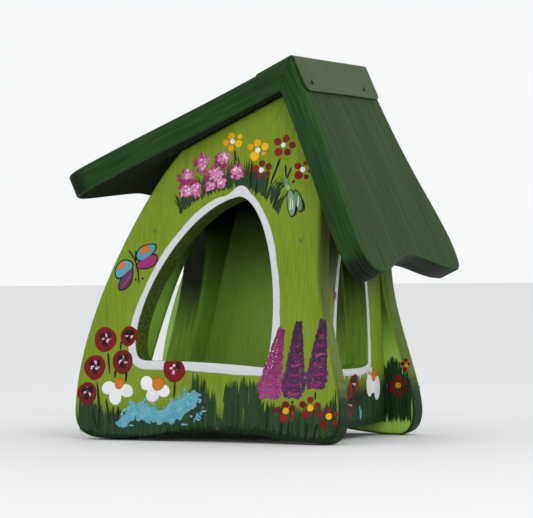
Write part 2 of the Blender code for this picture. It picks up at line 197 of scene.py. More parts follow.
def gable_outline():
    """Bell-shaped panel: flared feet, hollow lower edge, curved left side, cut under both roof boards."""
    sides = closed_curve(
        (-0.088, 0.0),
        ((-0.055, 0.0), (-0.045, 0.007), (-0.004, 0.007)),
        ((0.040, 0.007), (0.055, 0.0), (0.086, 0.0)),
        ((0.096, 0.0), (0.100, 0.009), (0.100, 0.019)),
        ((0.099, 0.046), (0.080, 0.086), (0.080, 0.125)),
        ((0.080, 0.18), (0.080, 0.25), (0.080, 0.30)),
        ((0.060, 0.30), (0.030, 0.28), (0.0135, 0.264)),
        ((-0.004, 0.2441), (-0.022, 0.2237), (-0.04025, 0.203)),
        ((-0.064, 0.176), (-0.115, 0.090), (-0.115, 0.022)),
        ((-0.115, 0.005), (-0.106, 0.0), (-0.088, 0.0)),
    )
    trimmed = cut_below(sides, ROOF_CORNER, RIGHT_NORMAL, BOARD + GAP)
    return evenly(cut_below(trimmed, ROOF_CORNER, LEFT_NORMAL, BOARD + GAP), 640)


def under_roof(outline):
    """1 where an outline point lies on the roof's underside, else 0."""
    near = [np.abs((outline - ROOF_CORNER) @ n + BOARD + GAP) < 0.0004 for n in (RIGHT_NORMAL, LEFT_NORMAL)]
    return (near[0] | near[1]).astype(float)


def arch_outline():
    """Lopsided arch of the front opening."""
    return closed_curve(
        (0.0395, 0.053),
        ((0.0405, 0.055), (0.0415, 0.057), (0.0425, 0.059)),
        ((0.051, 0.110), (0.0365, 0.1715), (0.0155, 0.1745)),
        ((-0.0245, 0.1685), (-0.066, 0.105), (-0.065, 0.069)),
        ((-0.064, 0.057), (-0.060, 0.057), (-0.051, 0.057)),
        ((-0.020, 0.0570), (0.010, 0.0555), (0.0395, 0.053)),
    )


def window_outline(plane):
    """Tall pointed window of a side wall, a little nearer the front than the back."""
    half = np.vstack([
        bezier((0.0, 0.050), (0.010, 0.050), (0.022, 0.050), (0.027, 0.053)),
        bezier((0.027, 0.053), (0.0275, 0.090), (0.0215, 0.140), (0.0, 0.168)),
    ])
    forward = -WINDOW_FORWARD if plane is RIGHT_WALL else WINDOW_FORWARD
    return np.vstack([half, [[0.0, 0.168]], half[:0:-1] * (-1.0, 1.0)]) + (forward, 0.0)


def roof_outline(length, corner):
    """Roof board: straight ridge end, ends flaring towards the eave, rounded corners and a hollow eave."""
    front, rear, depth = -0.017, 0.1485, RIDGE_DEPTH
    hollow, middle, turn = length - 0.0125, RIDGE_DEPTH / 2.0, length - 1.25 * corner
    edge = closed_curve(
        (0.0, 0.0),
        ((0.45 * length, -0.001), (0.55 * length, front + 0.004), (turn, front)),
        ((length - 0.3 * corner, front), (length, front + 0.3 * corner), (length, front + corner)),
        ((length - 0.001, front + 1.9 * corner), (hollow, middle - corner), (hollow, middle)),
        ((hollow, middle + corner), (length - 0.002, rear - 1.9 * corner),
         (length - 0.002, rear - 0.6 * corner)),
        ((length, rear - 0.1 * corner), (length - 0.5 * corner, rear), (turn, rear)),
        ((0.60 * length, rear - 0.006), (0.50 * length, depth + 0.001), (0.0, depth)),
        ((0.0, 0.75 * depth), (0.0, 0.25 * depth), (0.0, 0.0)),
    )
    ring = evenly(edge, 560)
    return ring - ROOF_TRIM * outward(ring)


# ---------------------------------------------------------------- shells: rings of points as closed skins

def ring_faces(rings, sides, looped=False):
    """Corner numbers of the quads between neighbouring rings and of the triangles that close the two poles.
    A looped shell joins its last ring to its first and has no poles."""
    first = 0 if looped else 1
    i = np.arange(rings if looped else rings - 1)[:, None]
    j = np.arange(sides)[None, :]
    near, far, turn = first + i * sides, first + (i + 1) % rings * sides, (j + 1) % sides
    quads = np.stack([near + j, near + turn, far + turn, far + j], -1).reshape(-1, 4)
    if looped:
        return quads, np.zeros((0, 3), int)
    j, turn, last = j[0], turn[0], first + rings * sides
    start = np.stack([np.zeros_like(j), first + turn, first + j], 1)
    end = np.stack([np.full_like(j, last), last - sides + j, last - sides + turn], 1)
    return quads, np.vstack([start, end])


def skin(points, quads, tris, uv, marks):
    """A closed skin with its faces turned outwards: all are reversed where the volume they hold is
    negative."""
    fan = np.vstack([quads[:, (0, 1, 2)], quads[:, (0, 2, 3)], tris])
    local = points - points.mean(0)
    corner = local[fan]
    if np.sum(corner[:, 0] * np.cross(corner[:, 1], corner[:, 2])) < 0.0:
        quads, tris = quads[:, ::-1], tris[:, ::-1]
    return points, quads, tris, uv, marks


def join(skins):
    """Several skins as one set of arrays."""
    shift = np.cumsum([0] + [len(s[0]) for s in skins])
    points = np.vstack([s[0] for s in skins])
    quads = np.vstack([s[1] + k for s, k in zip(skins, shift)])
    tris = np.vstack([s[2] + k for s, k in zip(skins, shift)])
    uv = np.vstack([s[3] for s in skins])
    marks = {key: np.concatenate([s[4][key] for s in skins]) for key in skins[0][4]}
    return points, quads, tris, uv, marks


def piece(name, parts, finishes, replaces=()):
    """One finished object in place: its mesh from the skin's arrays, a UV map in metres, its marks as
    attributes. A second finish goes on the faces whose corners are all marked inner."""
    points, quads, tris, uv, marks = parts
    mesh = bpy.data.meshes.new(name)
    mesh.from_pydata(points.tolist(), [], quads.tolist() + tris.tolist())
    corner = np.zeros(len(mesh.loops), np.int32)
    mesh.loops.foreach_get("vertex_index", corner)
    mesh.uv_layers.new(name="UVMap").data.foreach_set("uv", uv[corner].astype(np.float32).ravel())
    for key, values in marks.items():
        mesh.attributes.new(key, "FLOAT", "POINT").data.foreach_set("value", values.astype(np.float32))
    for finish in finishes:
        mesh.materials.append(finish)
    if len(finishes) > 1:
        inside = np.concatenate([marks["inner"][quads].min(1), marks["inner"][tris].min(1)]) > 0.5
        mesh.polygons.foreach_set("material_index", inside.astype(np.int32))
    mesh.shade_smooth()
    thing = bpy.data.objects.new(name, mesh)
    bpy.context.scene.collection.objects.link(thing)
    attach(thing, BODY)
    if replaces:
        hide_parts(*replaces)
    return thing


# ---------------------------------------------------------------- boards

def board(plane, outline, thick, rounding, back_rounding=0.0012, hole=None, centre=None, drift=None,
          rough=0.0):
    """A board with rounded edges, as rings of its outline. The rings run from the middle or the opening
    over the outer face, round the edge by r(1 - sin), r(1 - cos), down the side, and back over the inner
    face; an opening's side closes the loop. drift(outline, depth) moves a ring's points with the depth,
    fading to none at an opening. Marks: strip is 1 on the outer edge and -1 on an opening's side; inner is
    1 past the middle of the thickness."""
    out = outward(outline)
    quarter = np.linspace(0.0, 0.5 * math.pi, 6)
    room = 0.0003 + 0.85 * corner_distance(outline)
    rounding = np.minimum(np.broadcast_to(rounding, (len(outline),)), room)[:, None]
    back_rounding = np.minimum(np.full(len(outline), back_rounding), room)[:, None]
    spread = np.array([0.0, 0.25, 0.5, 0.75, 0.9])
    if hole is None:
        start = np.broadcast_to(np.array(centre), outline.shape)
        hole_out = 0.0
    else:
        bearing = np.arctan2(outline[:, 1] - centre[1], outline[:, 0] - centre[0])
        around = np.arctan2(hole[:, 1] - centre[1], hole[:, 0] - centre[0])
        reach = np.linalg.norm(hole - centre, axis=1)
        radius = np.interp(bearing, around[np.argsort(around)], reach[np.argsort(around)],
                           period=2.0 * math.pi)
        start = centre + radius[:, None] * np.stack([np.cos(bearing), np.sin(bearing)], 1)
        hole_out = outward(start)
    chip = 0.0004
    rings, depths, strips, pulls = [], [], [], []

    def add(ring, depth, strip, pull=1.0):
        pulls.append(1.0 if hole is None else pull)
        rings.append(ring)
        depths.append(np.broadcast_to(np.asarray(depth, float).reshape(-1), (len(outline),)))
        strips.append(np.full(len(outline), float(strip)))

    flat = outline - out * (rounding + np.minimum(0.0004, 0.5 * room)[:, None])
    near = start if hole is None else start + hole_out * chip
    for share in spread[1:] if hole is None else spread:
        add(near + share * (flat - near), 0.0, 0.0, share)
    add(flat, 0.0, 0.0)
    for angle in quarter:
        add(outline - out * rounding * (1.0 - math.sin(angle)), rounding * (1.0 - math.cos(angle)),
            math.sin(angle))
    for share in np.linspace(0.2, 0.8, 4):
        add(outline, rounding + share * (thick - rounding - back_rounding), 1.0)
    for angle in quarter[::-1]:
        add(outline - out * back_rounding * (1.0 - math.sin(angle)),
            thick - back_rounding * (1.0 - math.cos(angle)), math.sin(angle))
    for share in spread[::-1][:-1] if hole is None else spread[::-1]:
        add(near + share * (outline - out * (back_rounding + np.minimum(0.0004, 0.5 * room)[:, None]) - near),
            thick, 0.0, share)
    if hole is not None:
        walk = np.cumsum(np.linalg.norm(np.roll(start, -1, 0) - start, axis=1))[:, None]
        for share in np.linspace(1.0, 0.0, 13):
            depth = chip + share * (thick - 2.0 * chip)
            saw = (ripple(walk / 0.0011, depth / 0.0031 + walk / 0.004, 3)
                   + 0.6 * ripple(walk / 0.0004, depth / 0.012, 8))
            add(start + hole_out * rough * (0.6 + 0.4 * saw), depth, -1.0, 0.0)
    flat_rings = np.array(rings)
    depth = np.array(depths)
    strip = np.array(strips).ravel()
    if drift is not None:
        flat_rings = np.array([ring + pull * (drift(ring, d) - ring)
                               for ring, d, pull in zip(flat_rings, depth, pulls)])
    points = on_face(plane, flat_rings[..., 0], flat_rings[..., 1], depth)
    count, sides = points.shape[:2]
    uv = flat_rings.reshape(-1, 2)
    inner = np.clip((depth.ravel() / thick - 0.97) / 0.03, 0.0, 1.0)
    solid = points.reshape(-1, 3)
    if hole is None:
        poles = on_face(plane, np.array([centre[0]] * 2), np.array([centre[1]] * 2), np.array([0.0, thick]))
        solid = np.vstack([poles[:1], solid, poles[1:]])
        uv = np.vstack([[centre], uv, [centre]])
        strip = np.concatenate([[0.0], strip, [0.0]])
        inner = np.concatenate([[0.0], inner, [1.0]])
    quads, tris = ring_faces(count, sides, looped=hole is not None)
    return skin(solid, quads, tris, uv, {"strip": strip, "inner": inner})


# ---------------------------------------------------------------- brush strokes and dabs of paint

def smooth_path(points, steps):
    """A Catmull-Rom curve through the points, in equal steps of its parameter."""
    p = np.array(points, float)
    p = np.vstack([2.0 * p[0] - p[1], p, 2.0 * p[-1] - p[-2]])
    t = np.linspace(0.0, len(p) - 3.0, steps)
    i = np.minimum(t.astype(int), len(p) - 4)
    t = (t - i)[:, None]
    a, b, c, d = p[i], p[i + 1], p[i + 2], p[i + 3]
    return 0.5 * (2.0 * b + (c - a) * t + (2.0 * a - 5.0 * b + 4.0 * c - d) * t ** 2
                  + (3.0 * b - a - 3.0 * c + d) * t ** 3)


STROKE_SECTION = np.array([(-1.0, 0.0), (-0.72, 0.9), (0.0, 1.0), (0.72, 0.9), (1.0, 0.0), (0.0, -1.0)])


def stroke(plane, points, width, level=0, ends=(0.35, 0.6), steps=14, tone=0.5, shake=0.12):
    """One pull of the brush, in millimetres: a low flat-topped section carried along a smooth path. Its
    half width rises and falls as a power of the distance from either end, and shakes a little."""
    path = smooth_path(points, steps + 2)
    t = np.linspace(0.0, 1.0, steps + 2)[1:-1]
    way = np.gradient(path, axis=0)[1:-1]
    way /= np.maximum(np.linalg.norm(way, axis=1), 1e-9)[:, None]
    side = np.stack([-way[:, 1], way[:, 0]], 1)
    half = 0.5 * width * np.minimum(t / 0.25, 1.0) ** ends[0] * np.minimum((1.0 - t) / 0.5, 1.0) ** ends[1]
    half = half * (1.0 + shake * ripple(t * 9.0, tone * 91.0, 5))
    lift = 0.16 + 0.10 * level
    across, height = STROKE_SECTION.T
    flat = path[1:-1, None] + side[:, None] * (half[:, None] * across)[..., None]
    rise = np.where(height > 0.0, height * lift, height * 0.12)
    rise = np.broadcast_to(rise, flat.shape[:2])
    flat = np.vstack([path[:1], flat.reshape(-1, 2), path[-1:]])
    rise = np.concatenate([[0.0], rise.ravel(), [0.0]])
    length = np.concatenate([[0.0], np.repeat(t, len(across)), [1.0]]) * np.linalg.norm(path[-1] - path[0])
    over = np.concatenate([[0.0], (half[:, None] * across).ravel(), [0.0]])
    quads, tris = ring_faces(steps, len(across))
    solid = on_face(plane, flat[:, 0] * MM, flat[:, 1] * MM, -rise * MM)
    uv = np.stack([over + 37.0 * tone, length], 1) * MM
    rim = np.concatenate([[1.0], np.tile(np.abs(across), steps), [1.0]])
    marks = {"tone": np.full(len(solid), tone), "rim": rim}
    return skin(solid, quads, tris, uv, marks)


DAB_RINGS = np.array([(0.30, 0.86), (0.62, 0.92), (0.86, 1.0), (0.97, 0.7), (1.0, 0.0), (0.7, -0.8)])


def dab(plane, spot, radius, level=0, turn=0.0, wobble=0.07, tone=0.5, sides=20, cut=None):
    """One blob of paint, in millimetres: rings about its middle with a wavering edge and a slightly raised
    rim. cut keeps it above a height, as where a brush stops at an edge."""
    ra, rb = radius if isinstance(radius, tuple) else (radius, radius)
    angle = np.linspace(0.0, 2.0 * math.pi, sides, endpoint=False)
    waver = 1.0 + wobble * (ripple(angle / (2.0 * math.pi) * 8.0, tone * 57.0, 4) * np.sin(angle * 0.5) ** 2
                            + 0.6 * np.sin(angle * 3.0 + tone * 40.0))
    share, height = DAB_RINGS.T
    x = share[:, None] * (ra * waver * np.cos(angle))
    y = share[:, None] * (rb * waver * np.sin(angle))
    c, s = math.cos(turn), math.sin(turn)
    a, b = spot[0] + c * x - s * y, spot[1] + s * x + c * y
    if cut is not None:
        b = np.minimum(b, cut)
    lift = 0.20 + 0.10 * level
    rise = np.where(height > 0.0, height * lift, height * 0.15)
    flat = np.stack([np.concatenate([[spot[0]], a.ravel(), [spot[0]]]),
                     np.concatenate([[spot[1]], b.ravel(), [spot[1]]])], 1)
    rise = np.concatenate([[0.84 * lift], np.repeat(rise, sides), [-0.15]])
    quads, tris = ring_faces(len(share), sides)
    solid = on_face(plane, flat[:, 0] * MM, flat[:, 1] * MM, -rise * MM)
    rim = np.concatenate([[0.0], np.repeat(np.minimum(share, 1.0), sides), [0.0]])
    marks = {"tone": np.full(len(solid), tone), "rim": rim}
    return skin(solid, quads, tris, (flat + 37.0 * tone) * MM, marks)


def border(plane, edge, centre, width):
    """A painted border round an opening: a low section carried round its edge; width(bearing) in metres."""
    out = outward(edge)
    bearing = np.arctan2(edge[:, 1] - centre[1], edge[:, 0] - centre[0])
    wide = width(bearing)
    share = np.array([0.0, 0.06, 0.5, 0.94, 1.0, 0.5])
    rise = np.array([0.0, 0.9, 1.0, 0.9, 0.0, -0.7]) * BORDER_LIFT
    ring = edge[None] + out[None] * (0.0003 + share[:, None] * wide)[..., None]
    solid = on_face(plane, ring[..., 0], ring[..., 1], -rise[:, None]).reshape(-1, 3)
    walk = np.cumsum(np.linalg.norm(np.roll(edge, -1, 0) - edge, axis=1))
    uv = np.stack([(share[:, None] * wide).ravel(), np.tile(walk, len(share))], 1)
    quads, tris = ring_faces(len(share), len(edge), looped=True)
    rim = np.repeat(np.abs(share - 0.5) * 2.0, len(edge))
    marks = {"tone": np.full(len(solid), 0.5), "rim": rim}
    return skin(solid, quads, tris, uv, marks)


# ---------------------------------------------------------------- finishes: node helpers

LIGHT_GAIN = 1.25                   # how much the studio light brightens a pale wall


def colour(red, green, blue):
    """A paint's everyday 0-255 look in the studio light as the linear colour that shaders use."""
    shares = [c / 255.0 for c in (red, green, blue)]
    linear = [c / 12.92 if c <= 0.04045 else ((c + 0.055) / 1.055) ** 2.4 for c in shares]
    return tuple(c / LIGHT_GAIN for c in linear) + (1.0,)


def put(tree, kind, values=None, out=0, **settings):
    """A new node with its settings and inputs; an input is a value or another node's output."""
    node = tree.nodes.new("ShaderNode" + kind)
    for key, value in settings.items():
        setattr(node, key, value)
    for key, value in (values or {}).items():
        if isinstance(value, bpy.types.NodeSocket):
            tree.links.new(value, node.inputs[key])
        else:
            node.inputs[key].default_value = value
    return node.outputs[out]


def new_finish(name, roughness=0.55, specular=0.15):
    """A new material: itself, its node tree and its shader."""
    material = bpy.data.materials.new(name)
    material.use_nodes = True
    tree = material.node_tree
    shader = tree.nodes["Principled BSDF"]
    shader.inputs["Roughness"].default_value = roughness
    shader.inputs["Specular IOR Level"].default_value = specular
    return material, tree, shader


def drawing_place(tree):
    """The surface's own place on its drawing plane, in metres."""
    return put(tree, "UVMap", uv_map="UVMap")


def grain(tree, place, stretch, detail=3.0, rough=0.55, shift=(0.0, 0.0, 0.0)):
    """Noise on a place stretched by so many cells a metre in each direction."""
    at = put(tree, "Mapping", {"Vector": place, "Scale": stretch, "Location": shift})
    return put(tree, "TexNoise", {"Vector": at, "Scale": 1.0, "Detail": detail, "Roughness": rough})


def mark(tree, name):
    """A piece's stored mark, as a value."""
    return put(tree, "Attribute", out=2, attribute_name=name)


def plus(tree, a, b):
    """a + b, each a value or a node's output."""
    return put(tree, "Math", {0: a, 1: b}, operation="ADD")


def minus(tree, a, b):
    """a - b."""
    return put(tree, "Math", {0: a, 1: b}, operation="SUBTRACT")


def times(tree, a, b):
    """a * b."""
    return put(tree, "Math", {0: a, 1: b}, operation="MULTIPLY")


def fade(tree, value, low, high, start=0.0, end=1.0):
    """Eases from start to end as the value goes from low to high."""
    values = {"Value": value, "From Min": low, "From Max": high, "To Min": start, "To Max": end}
    return put(tree, "MapRange", values, interpolation_type="SMOOTHSTEP")


def over(tree, share, under, top):
    """The top colour laid over the under colour by the share."""
    return put(tree, "Mix", {0: share, 6: under, 7: top}, out=2, data_type="RGBA")


def ramp(tree, value, *stops):
    """A run of colours along a value."""
    node = tree.nodes.new("ShaderNodeValToRGB")
    tree.links.new(value, node.inputs[0])
    line = node.color_ramp
    while len(line.elements) < len(stops):
        line.elements.new(0.5)
    for element, (place, shade) in zip(line.elements, stops):
        element.position = place
        element.color = shade
    return node.outputs[0]


def relief(tree, shader, height, depth, strength=1.0):
    """Raises the surface by the height times the depth in metres."""
    bump = put(tree, "Bump", {"Height": height, "Distance": depth, "Strength": strength})
    tree.links.new(bump, shader.inputs["Normal"])


def lay(tree, shader, shade, roughness=None):
    """Links the colour, and the roughness where one is given."""
    tree.links.new(shade, shader.inputs["Base Color"])
    if roughness is not None:
        tree.links.new(roughness, shader.inputs["Roughness"])


# ---------------------------------------------------------------- finishes of the wood

LIME_DEEP = colour(110, 136, 27)
LIME = colour(127, 153, 35)
LIME_WARM = colour(142, 164, 52)
MOSS = colour(30, 60, 27)
MOSS_DEEP = colour(18, 40, 18)


def board_grain(tree, plane, seed):
    """Streaks that run along a board's edge: noise fast through its thickness and slow along it."""
    place = put(tree, "TexCoord", out=3)
    ways = [put(tree, "VectorMath", {0: place, 1: tuple(way * pace)}, out=1, operation="DOT_PRODUCT")
            for way, pace in ((plane[3], 620.0), (plane[2], 34.0), (plane[1], 34.0))]
    at = put(tree, "CombineXYZ", {0: ways[0], 1: ways[1], 2: ways[2]})
    at = put(tree, "VectorMath", {0: at, 1: (seed, seed, 0.0)})
    return put(tree, "TexNoise", {"Vector": at, "Scale": 1.0, "Detail": 4.0, "Roughness": 0.6})


def lime_coat(name, plane, wash, inside_low, inside_high, seed=0.0, sawn=True, worn=True, cut=(0.06, 0.115),
              painted_shade_from=None, painted_corner_shade=None):
    """Brushed lime green on a board: fine upright streaks over soft clouds, a dull outer edge that may be
    rubbed paler, a dark green wash up from the feet, an opening's side left sawn or painted, and an inner
    face painted bright lime low down and near black under the roof: painted light and painted shade. The
    opening's side darkens upward as painted shade; one optional range paints shade under the roof onto the
    outer face, another paints shade into one end of the inner face."""
    material, tree, shader = new_finish(name, 0.6, 0.10)
    place = drawing_place(tree)
    parts = put(tree, "SeparateXYZ", {0: place}, out=1)
    streak = grain(tree, place, (820.0, 38.0, 1.0), 4.0, 0.6, (seed, seed, 0.0))
    hair = grain(tree, place, (2600.0, 90.0, 1.0), 2.0, 0.5, (seed, 3.0, 0.0))
    cloud = grain(tree, place, (24.0, 13.0, 1.0), 3.0, 0.5, (seed, 7.0, 0.0))
    shade = ramp(tree, streak, (0.30, LIME_DEEP), (0.52, LIME), (0.74, LIME_WARM))
    shade = over(tree, fade(tree, cloud, 0.35, 0.7, 0.0, 0.45), shade, LIME_WARM)
    shade = over(tree, fade(tree, hair, 0.55, 0.75, 0.0, 0.25), shade, LIME_DEEP)
    strip = mark(tree, "strip")
    along = board_grain(tree, plane, seed)
    on_edge = fade(tree, strip, 0.45, 1.0)
    if worn:
        edge = ramp(tree, along, (0.3, colour(86, 102, 32)), (0.5, colour(112, 127, 50)),
                    (0.7, colour(134, 146, 70)))
    else:
        edge = ramp(tree, along, (0.3, colour(70, 92, 22)), (0.5, colour(92, 116, 28)),
                    (0.7, colour(110, 136, 38)))
    shade = over(tree, on_edge, shade, edge)
    rise = minus(tree, parts, times(tree, streak, 0.022))
    rise = minus(tree, rise, times(tree, on_edge, 0.020))
    low = fade(tree, rise, wash - 0.008, wash + 0.012, 1.0, 0.0)
    moss = ramp(tree, hair, (0.3, MOSS_DEEP), (0.7, MOSS))
    shade = over(tree, low, shade, moss)
    sawdust = grain(tree, put(tree, "TexCoord", out=3), (620.0, 620.0, 620.0), 5.0, 0.7, (seed, 1.0, 0.0))
    if sawn:
        sides = ramp(tree, sawdust, (0.34, colour(38, 47, 20)), (0.5, colour(88, 107, 42)),
                     (0.66, colour(130, 150, 62)))
        # painted shade: the arch's sawn side darkens upward towards the top of the opening
        sides = over(tree, fade(tree, parts, 0.07, 0.17, 0.0, 0.42), sides, colour(18, 24, 12))
    else:
        sides = ramp(tree, along, (0.3, colour(104, 140, 42)), (0.7, colour(142, 180, 62)))
        # painted shade: the window's side darkens upward to near black under the roof
        sides = over(tree, fade(tree, parts, *cut, 0.0, 0.97), sides, colour(12, 15, 10))
    # painted shade: the outer face darkens upward to dark green under the roof
    if painted_shade_from is not None:
        shade = over(tree, fade(tree, plus(tree, parts, times(tree, cloud, 0.02)), *painted_shade_from, 0.0, 0.92),
                     shade, colour(20, 27, 14))
    shade = over(tree, fade(tree, strip, -0.35, -0.75), shade, sides)
    # painted light and shade: the inner face is painted bright lime low down, where light comes in through
    # the openings, and darkens upward to near black under the roof
    light_and_shade_height = plus(tree, parts, times(tree, cloud, 0.03))
    light_and_shade_height = put(tree, "MapRange", {"Value": light_and_shade_height, "From Min": inside_low, "From Max": inside_high})
    inside = ramp(tree, light_and_shade_height, (0.0, colour(182, 228, 96)), (0.35, colour(168, 214, 88)),
                  (0.66, colour(104, 138, 54)), (1.0, colour(9, 12, 7)))
    # painted shade in an inner corner: one end of the inner face darkens, higher up
    if painted_corner_shade is not None:
        corner = fade(tree, put(tree, "SeparateXYZ", {0: place}, out=0), *painted_corner_shade)
        corner = times(tree, corner, fade(tree, parts, 0.05, 0.10))
        inside = over(tree, times(tree, corner, 0.8), inside, colour(34, 50, 20))
    inside = over(tree, fade(tree, streak, 0.5, 0.75, 0.0, 0.3), inside, colour(30, 52, 18))
    shade = over(tree, mark(tree, "inner"), shade, inside)
    lay(tree, shader, shade, fade(tree, streak, 0.3, 0.8, 0.44, 0.62))
    rough = fade(tree, strip, -0.3, -0.9, 0.12, 1.0)
    height = plus(tree, times(tree, hair, 0.5), streak)
    saw = times(tree, sawdust, rough)
    relief(tree, shader, plus(tree, times(tree, height, 0.18), saw), 0.0006, 0.8)
    return material


def roof_coat(name, plane, knot=None):
    """Green stain on a grained roof board: streaks running down the slope, a greener worn rim, layered end
    grain on the eave and a black-green underside."""
    material, tree, shader = new_finish(name, 0.66, 0.05)
    place = drawing_place(tree)
    down = put(tree, "SeparateXYZ", {0: place}, out=0)
    slow = grain(tree, place, (7.0, 150.0, 1.0), 4.0, 0.6)
    fine = grain(tree, place, (26.0, 900.0, 1.0), 4.0, 0.65, (1.0, 5.0, 0.0))
    hair = grain(tree, place, (60.0, 2600.0, 1.0), 2.0, 0.6, (2.0, 8.0, 0.0))
    shade = ramp(tree, plus(tree, times(tree, slow, 0.5), times(tree, fine, 0.5)),
                 (0.34, colour(34, 54, 26)), (0.5, colour(52, 74, 37)), (0.66, colour(74, 94, 52)))
    shade = over(tree, fade(tree, hair, 0.56, 0.78, 0.0, 0.5), shade, colour(34, 50, 31))
    strip = mark(tree, "strip")
    side = ramp(tree, board_grain(tree, plane, 3.0), (0.35, colour(32, 58, 29)), (0.55, colour(42, 71, 36)),
                (0.75, colour(55, 89, 44)))
    rim = over(tree, fade(tree, strip, 0.30, 0.92), colour(58, 92, 44), side)
    shade = over(tree, fade(tree, strip, 0.06, 0.42), shade, rim)
    object_place = put(tree, "TexCoord", out=3)
    through = put(tree, "VectorMath", {0: object_place, 1: tuple(plane[3])}, out=1, operation="DOT_PRODUCT")
    across = put(tree, "SeparateXYZ", {0: object_place}, out=1)
    layers = put(tree, "CombineXYZ", {0: times(tree, across, 22.0), 1: times(tree, through, 1500.0)})
    layers = put(tree, "TexNoise", {"Vector": layers, "Scale": 1.0, "Detail": 3.0})
    grainy = ramp(tree, layers, (0.36, colour(15, 19, 15)), (0.52, colour(32, 39, 29)),
                  (0.7, colour(52, 60, 45)))
    length = RIGHT_SLOPE if plane is ROOF_RIGHT else LEFT_SLOPE
    at_eave = times(tree, fade(tree, down, length - 0.020, length - 0.010), fade(tree, strip, 0.6, 0.95))
    shade = over(tree, at_eave, shade, grainy)
    height = plus(tree, times(tree, fine, 0.7), times(tree, hair, 0.5))
    height = plus(tree, height, times(tree, slow, 0.6))
    if knot is not None:
        offset = put(tree, "VectorMath", {0: place, 1: (*knot, 0.0)}, operation="SUBTRACT")
        offset = put(tree, "VectorMath", {0: offset, 1: (0.8, 1.0, 1.0)}, operation="MULTIPLY")
        away = put(tree, "VectorMath", {0: offset}, out=1, operation="LENGTH")
        away = plus(tree, away, times(tree, slow, 0.0012))
        ring = times(tree, fade(tree, away, 0.0024, 0.0036), fade(tree, away, 0.0036, 0.0058, 1.0, 0.0))
        height = plus(tree, height, times(tree, ring, 1.6))
        shade = over(tree, times(tree, ring, 0.45), shade, colour(34, 48, 30))
    lay(tree, shader, shade, fade(tree, fine, 0.3, 0.75, 0.42, 0.6))
    relief(tree, shader, height, 0.00035, 0.7)
    return material


def underside_coat():
    """Thin black green stain on the boards' undersides, quite matt, laid darker still as painted shade under
    the roof.
    """
    material, tree, shader = new_finish("underside_stain_and_shade", 0.9, 0.0)
    fine = grain(tree, drawing_place(tree), (20.0, 700.0, 1.0), 4.0, 0.65)
    # the boards' dark stain together with painted shade under the roof
    lay(tree, shader, ramp(tree, fine, (0.3, colour(34, 40, 28)), (0.7, colour(58, 64, 46))))
    relief(tree, shader, fine, 0.0003)
    return material


def cap_coat():
    """Dull grey green paint on sheet metal: faint clouding, rubbed at the edges, and darker over the
    underside as painted shade in the gap under the sheet.
    """
    material, tree, shader = new_finish("capping_paint", 0.5, 0.12)
    place = drawing_place(tree)
    cloud = grain(tree, place, (45.0, 30.0, 1.0), 4.0, 0.55)
    fine = grain(tree, place, (500.0, 120.0, 1.0), 3.0, 0.6)
    shade = ramp(tree, cloud, (0.3, colour(54, 74, 36)), (0.55, colour(70, 90, 46)),
                 (0.78, colour(86, 104, 58)))
    shade = over(tree, fade(tree, fine, 0.55, 0.8, 0.0, 0.3), shade, colour(50, 68, 46))
    # rubbed edges darker, and the underside darker as painted shade under the sheet
    shade = over(tree, mark(tree, "strip"), shade, colour(44, 66, 38))
    lay(tree, shader, shade, fade(tree, cloud, 0.3, 0.75, 0.34, 0.5))
    relief(tree, shader, plus(tree, cloud, times(tree, fine, 0.3)), 0.0003, 0.5)
    return material


def nail_coat(name, light, dark):
    """Paint over a steel head, thinner and darker towards its rim and shank."""
    material, tree, shader = new_finish(name, 0.45, 0.3)
    place = put(tree, "TexCoord", out=3)
    speck = put(tree, "TexNoise", {"Vector": place, "Scale": 1400.0, "Detail": 3.0})
    shade = ramp(tree, speck, (0.35, dark), (0.65, light))
    shade = over(tree, mark(tree, "strip"), shade, colour(22, 26, 18))
    lay(tree, shader, shade)
    relief(tree, shader, speck, 0.0002, 0.5)
    return material


def brush_paint(name, deep, middle, light, rim=None):
    """Artists' paint laid by brush: each stroke has its own tone, bristles leave fine lines along it, and
    the rim may be of another shade where the paint gathers."""
    material, tree, shader = new_finish(name, BRUSHED_ROUGHNESS, 0.18)
    place = drawing_place(tree)
    lines = grain(tree, place, (2400.0, 170.0, 1.0), 3.0, 0.6)
    mottle = grain(tree, place, (420.0, 420.0, 1.0), 3.0, 0.6, (3.0, 4.0, 0.0))
    tone = mark(tree, "tone")
    value = plus(tree, times(tree, tone, 0.5), times(tree, lines, 0.5))
    shade = ramp(tree, value, (0.22, deep), (0.5, middle), (0.78, light))
    shade = over(tree, fade(tree, mottle, 0.5, 0.8, 0.0, 0.35), shade, deep)
    if rim is not None:
        shade = over(tree, fade(tree, mark(tree, "rim"), 0.7, 1.0), shade, rim)
    lay(tree, shader, shade, fade(tree, lines, 0.3, 0.75, BRUSHED_ROUGHNESS - 0.08, BRUSHED_ROUGHNESS + 0.12))
    relief(tree, shader, plus(tree, lines, mottle), 0.0003, 0.5)
    return material


# ---------------------------------------------------------------- wooden parts

ARCH_CENTRE = np.array([-0.010, 0.105])
WINDOW_CENTRE = np.array([0.0, 0.090])


def gable_drift(weight):
    """The panel leans, so its cut under the roof climbs with the depth by depth * tan(lean)."""
    def drift(ring, depth):
        return ring + np.stack([np.zeros(len(ring)), weight * depth * math.tan(LEAN)], 1)
    return drift


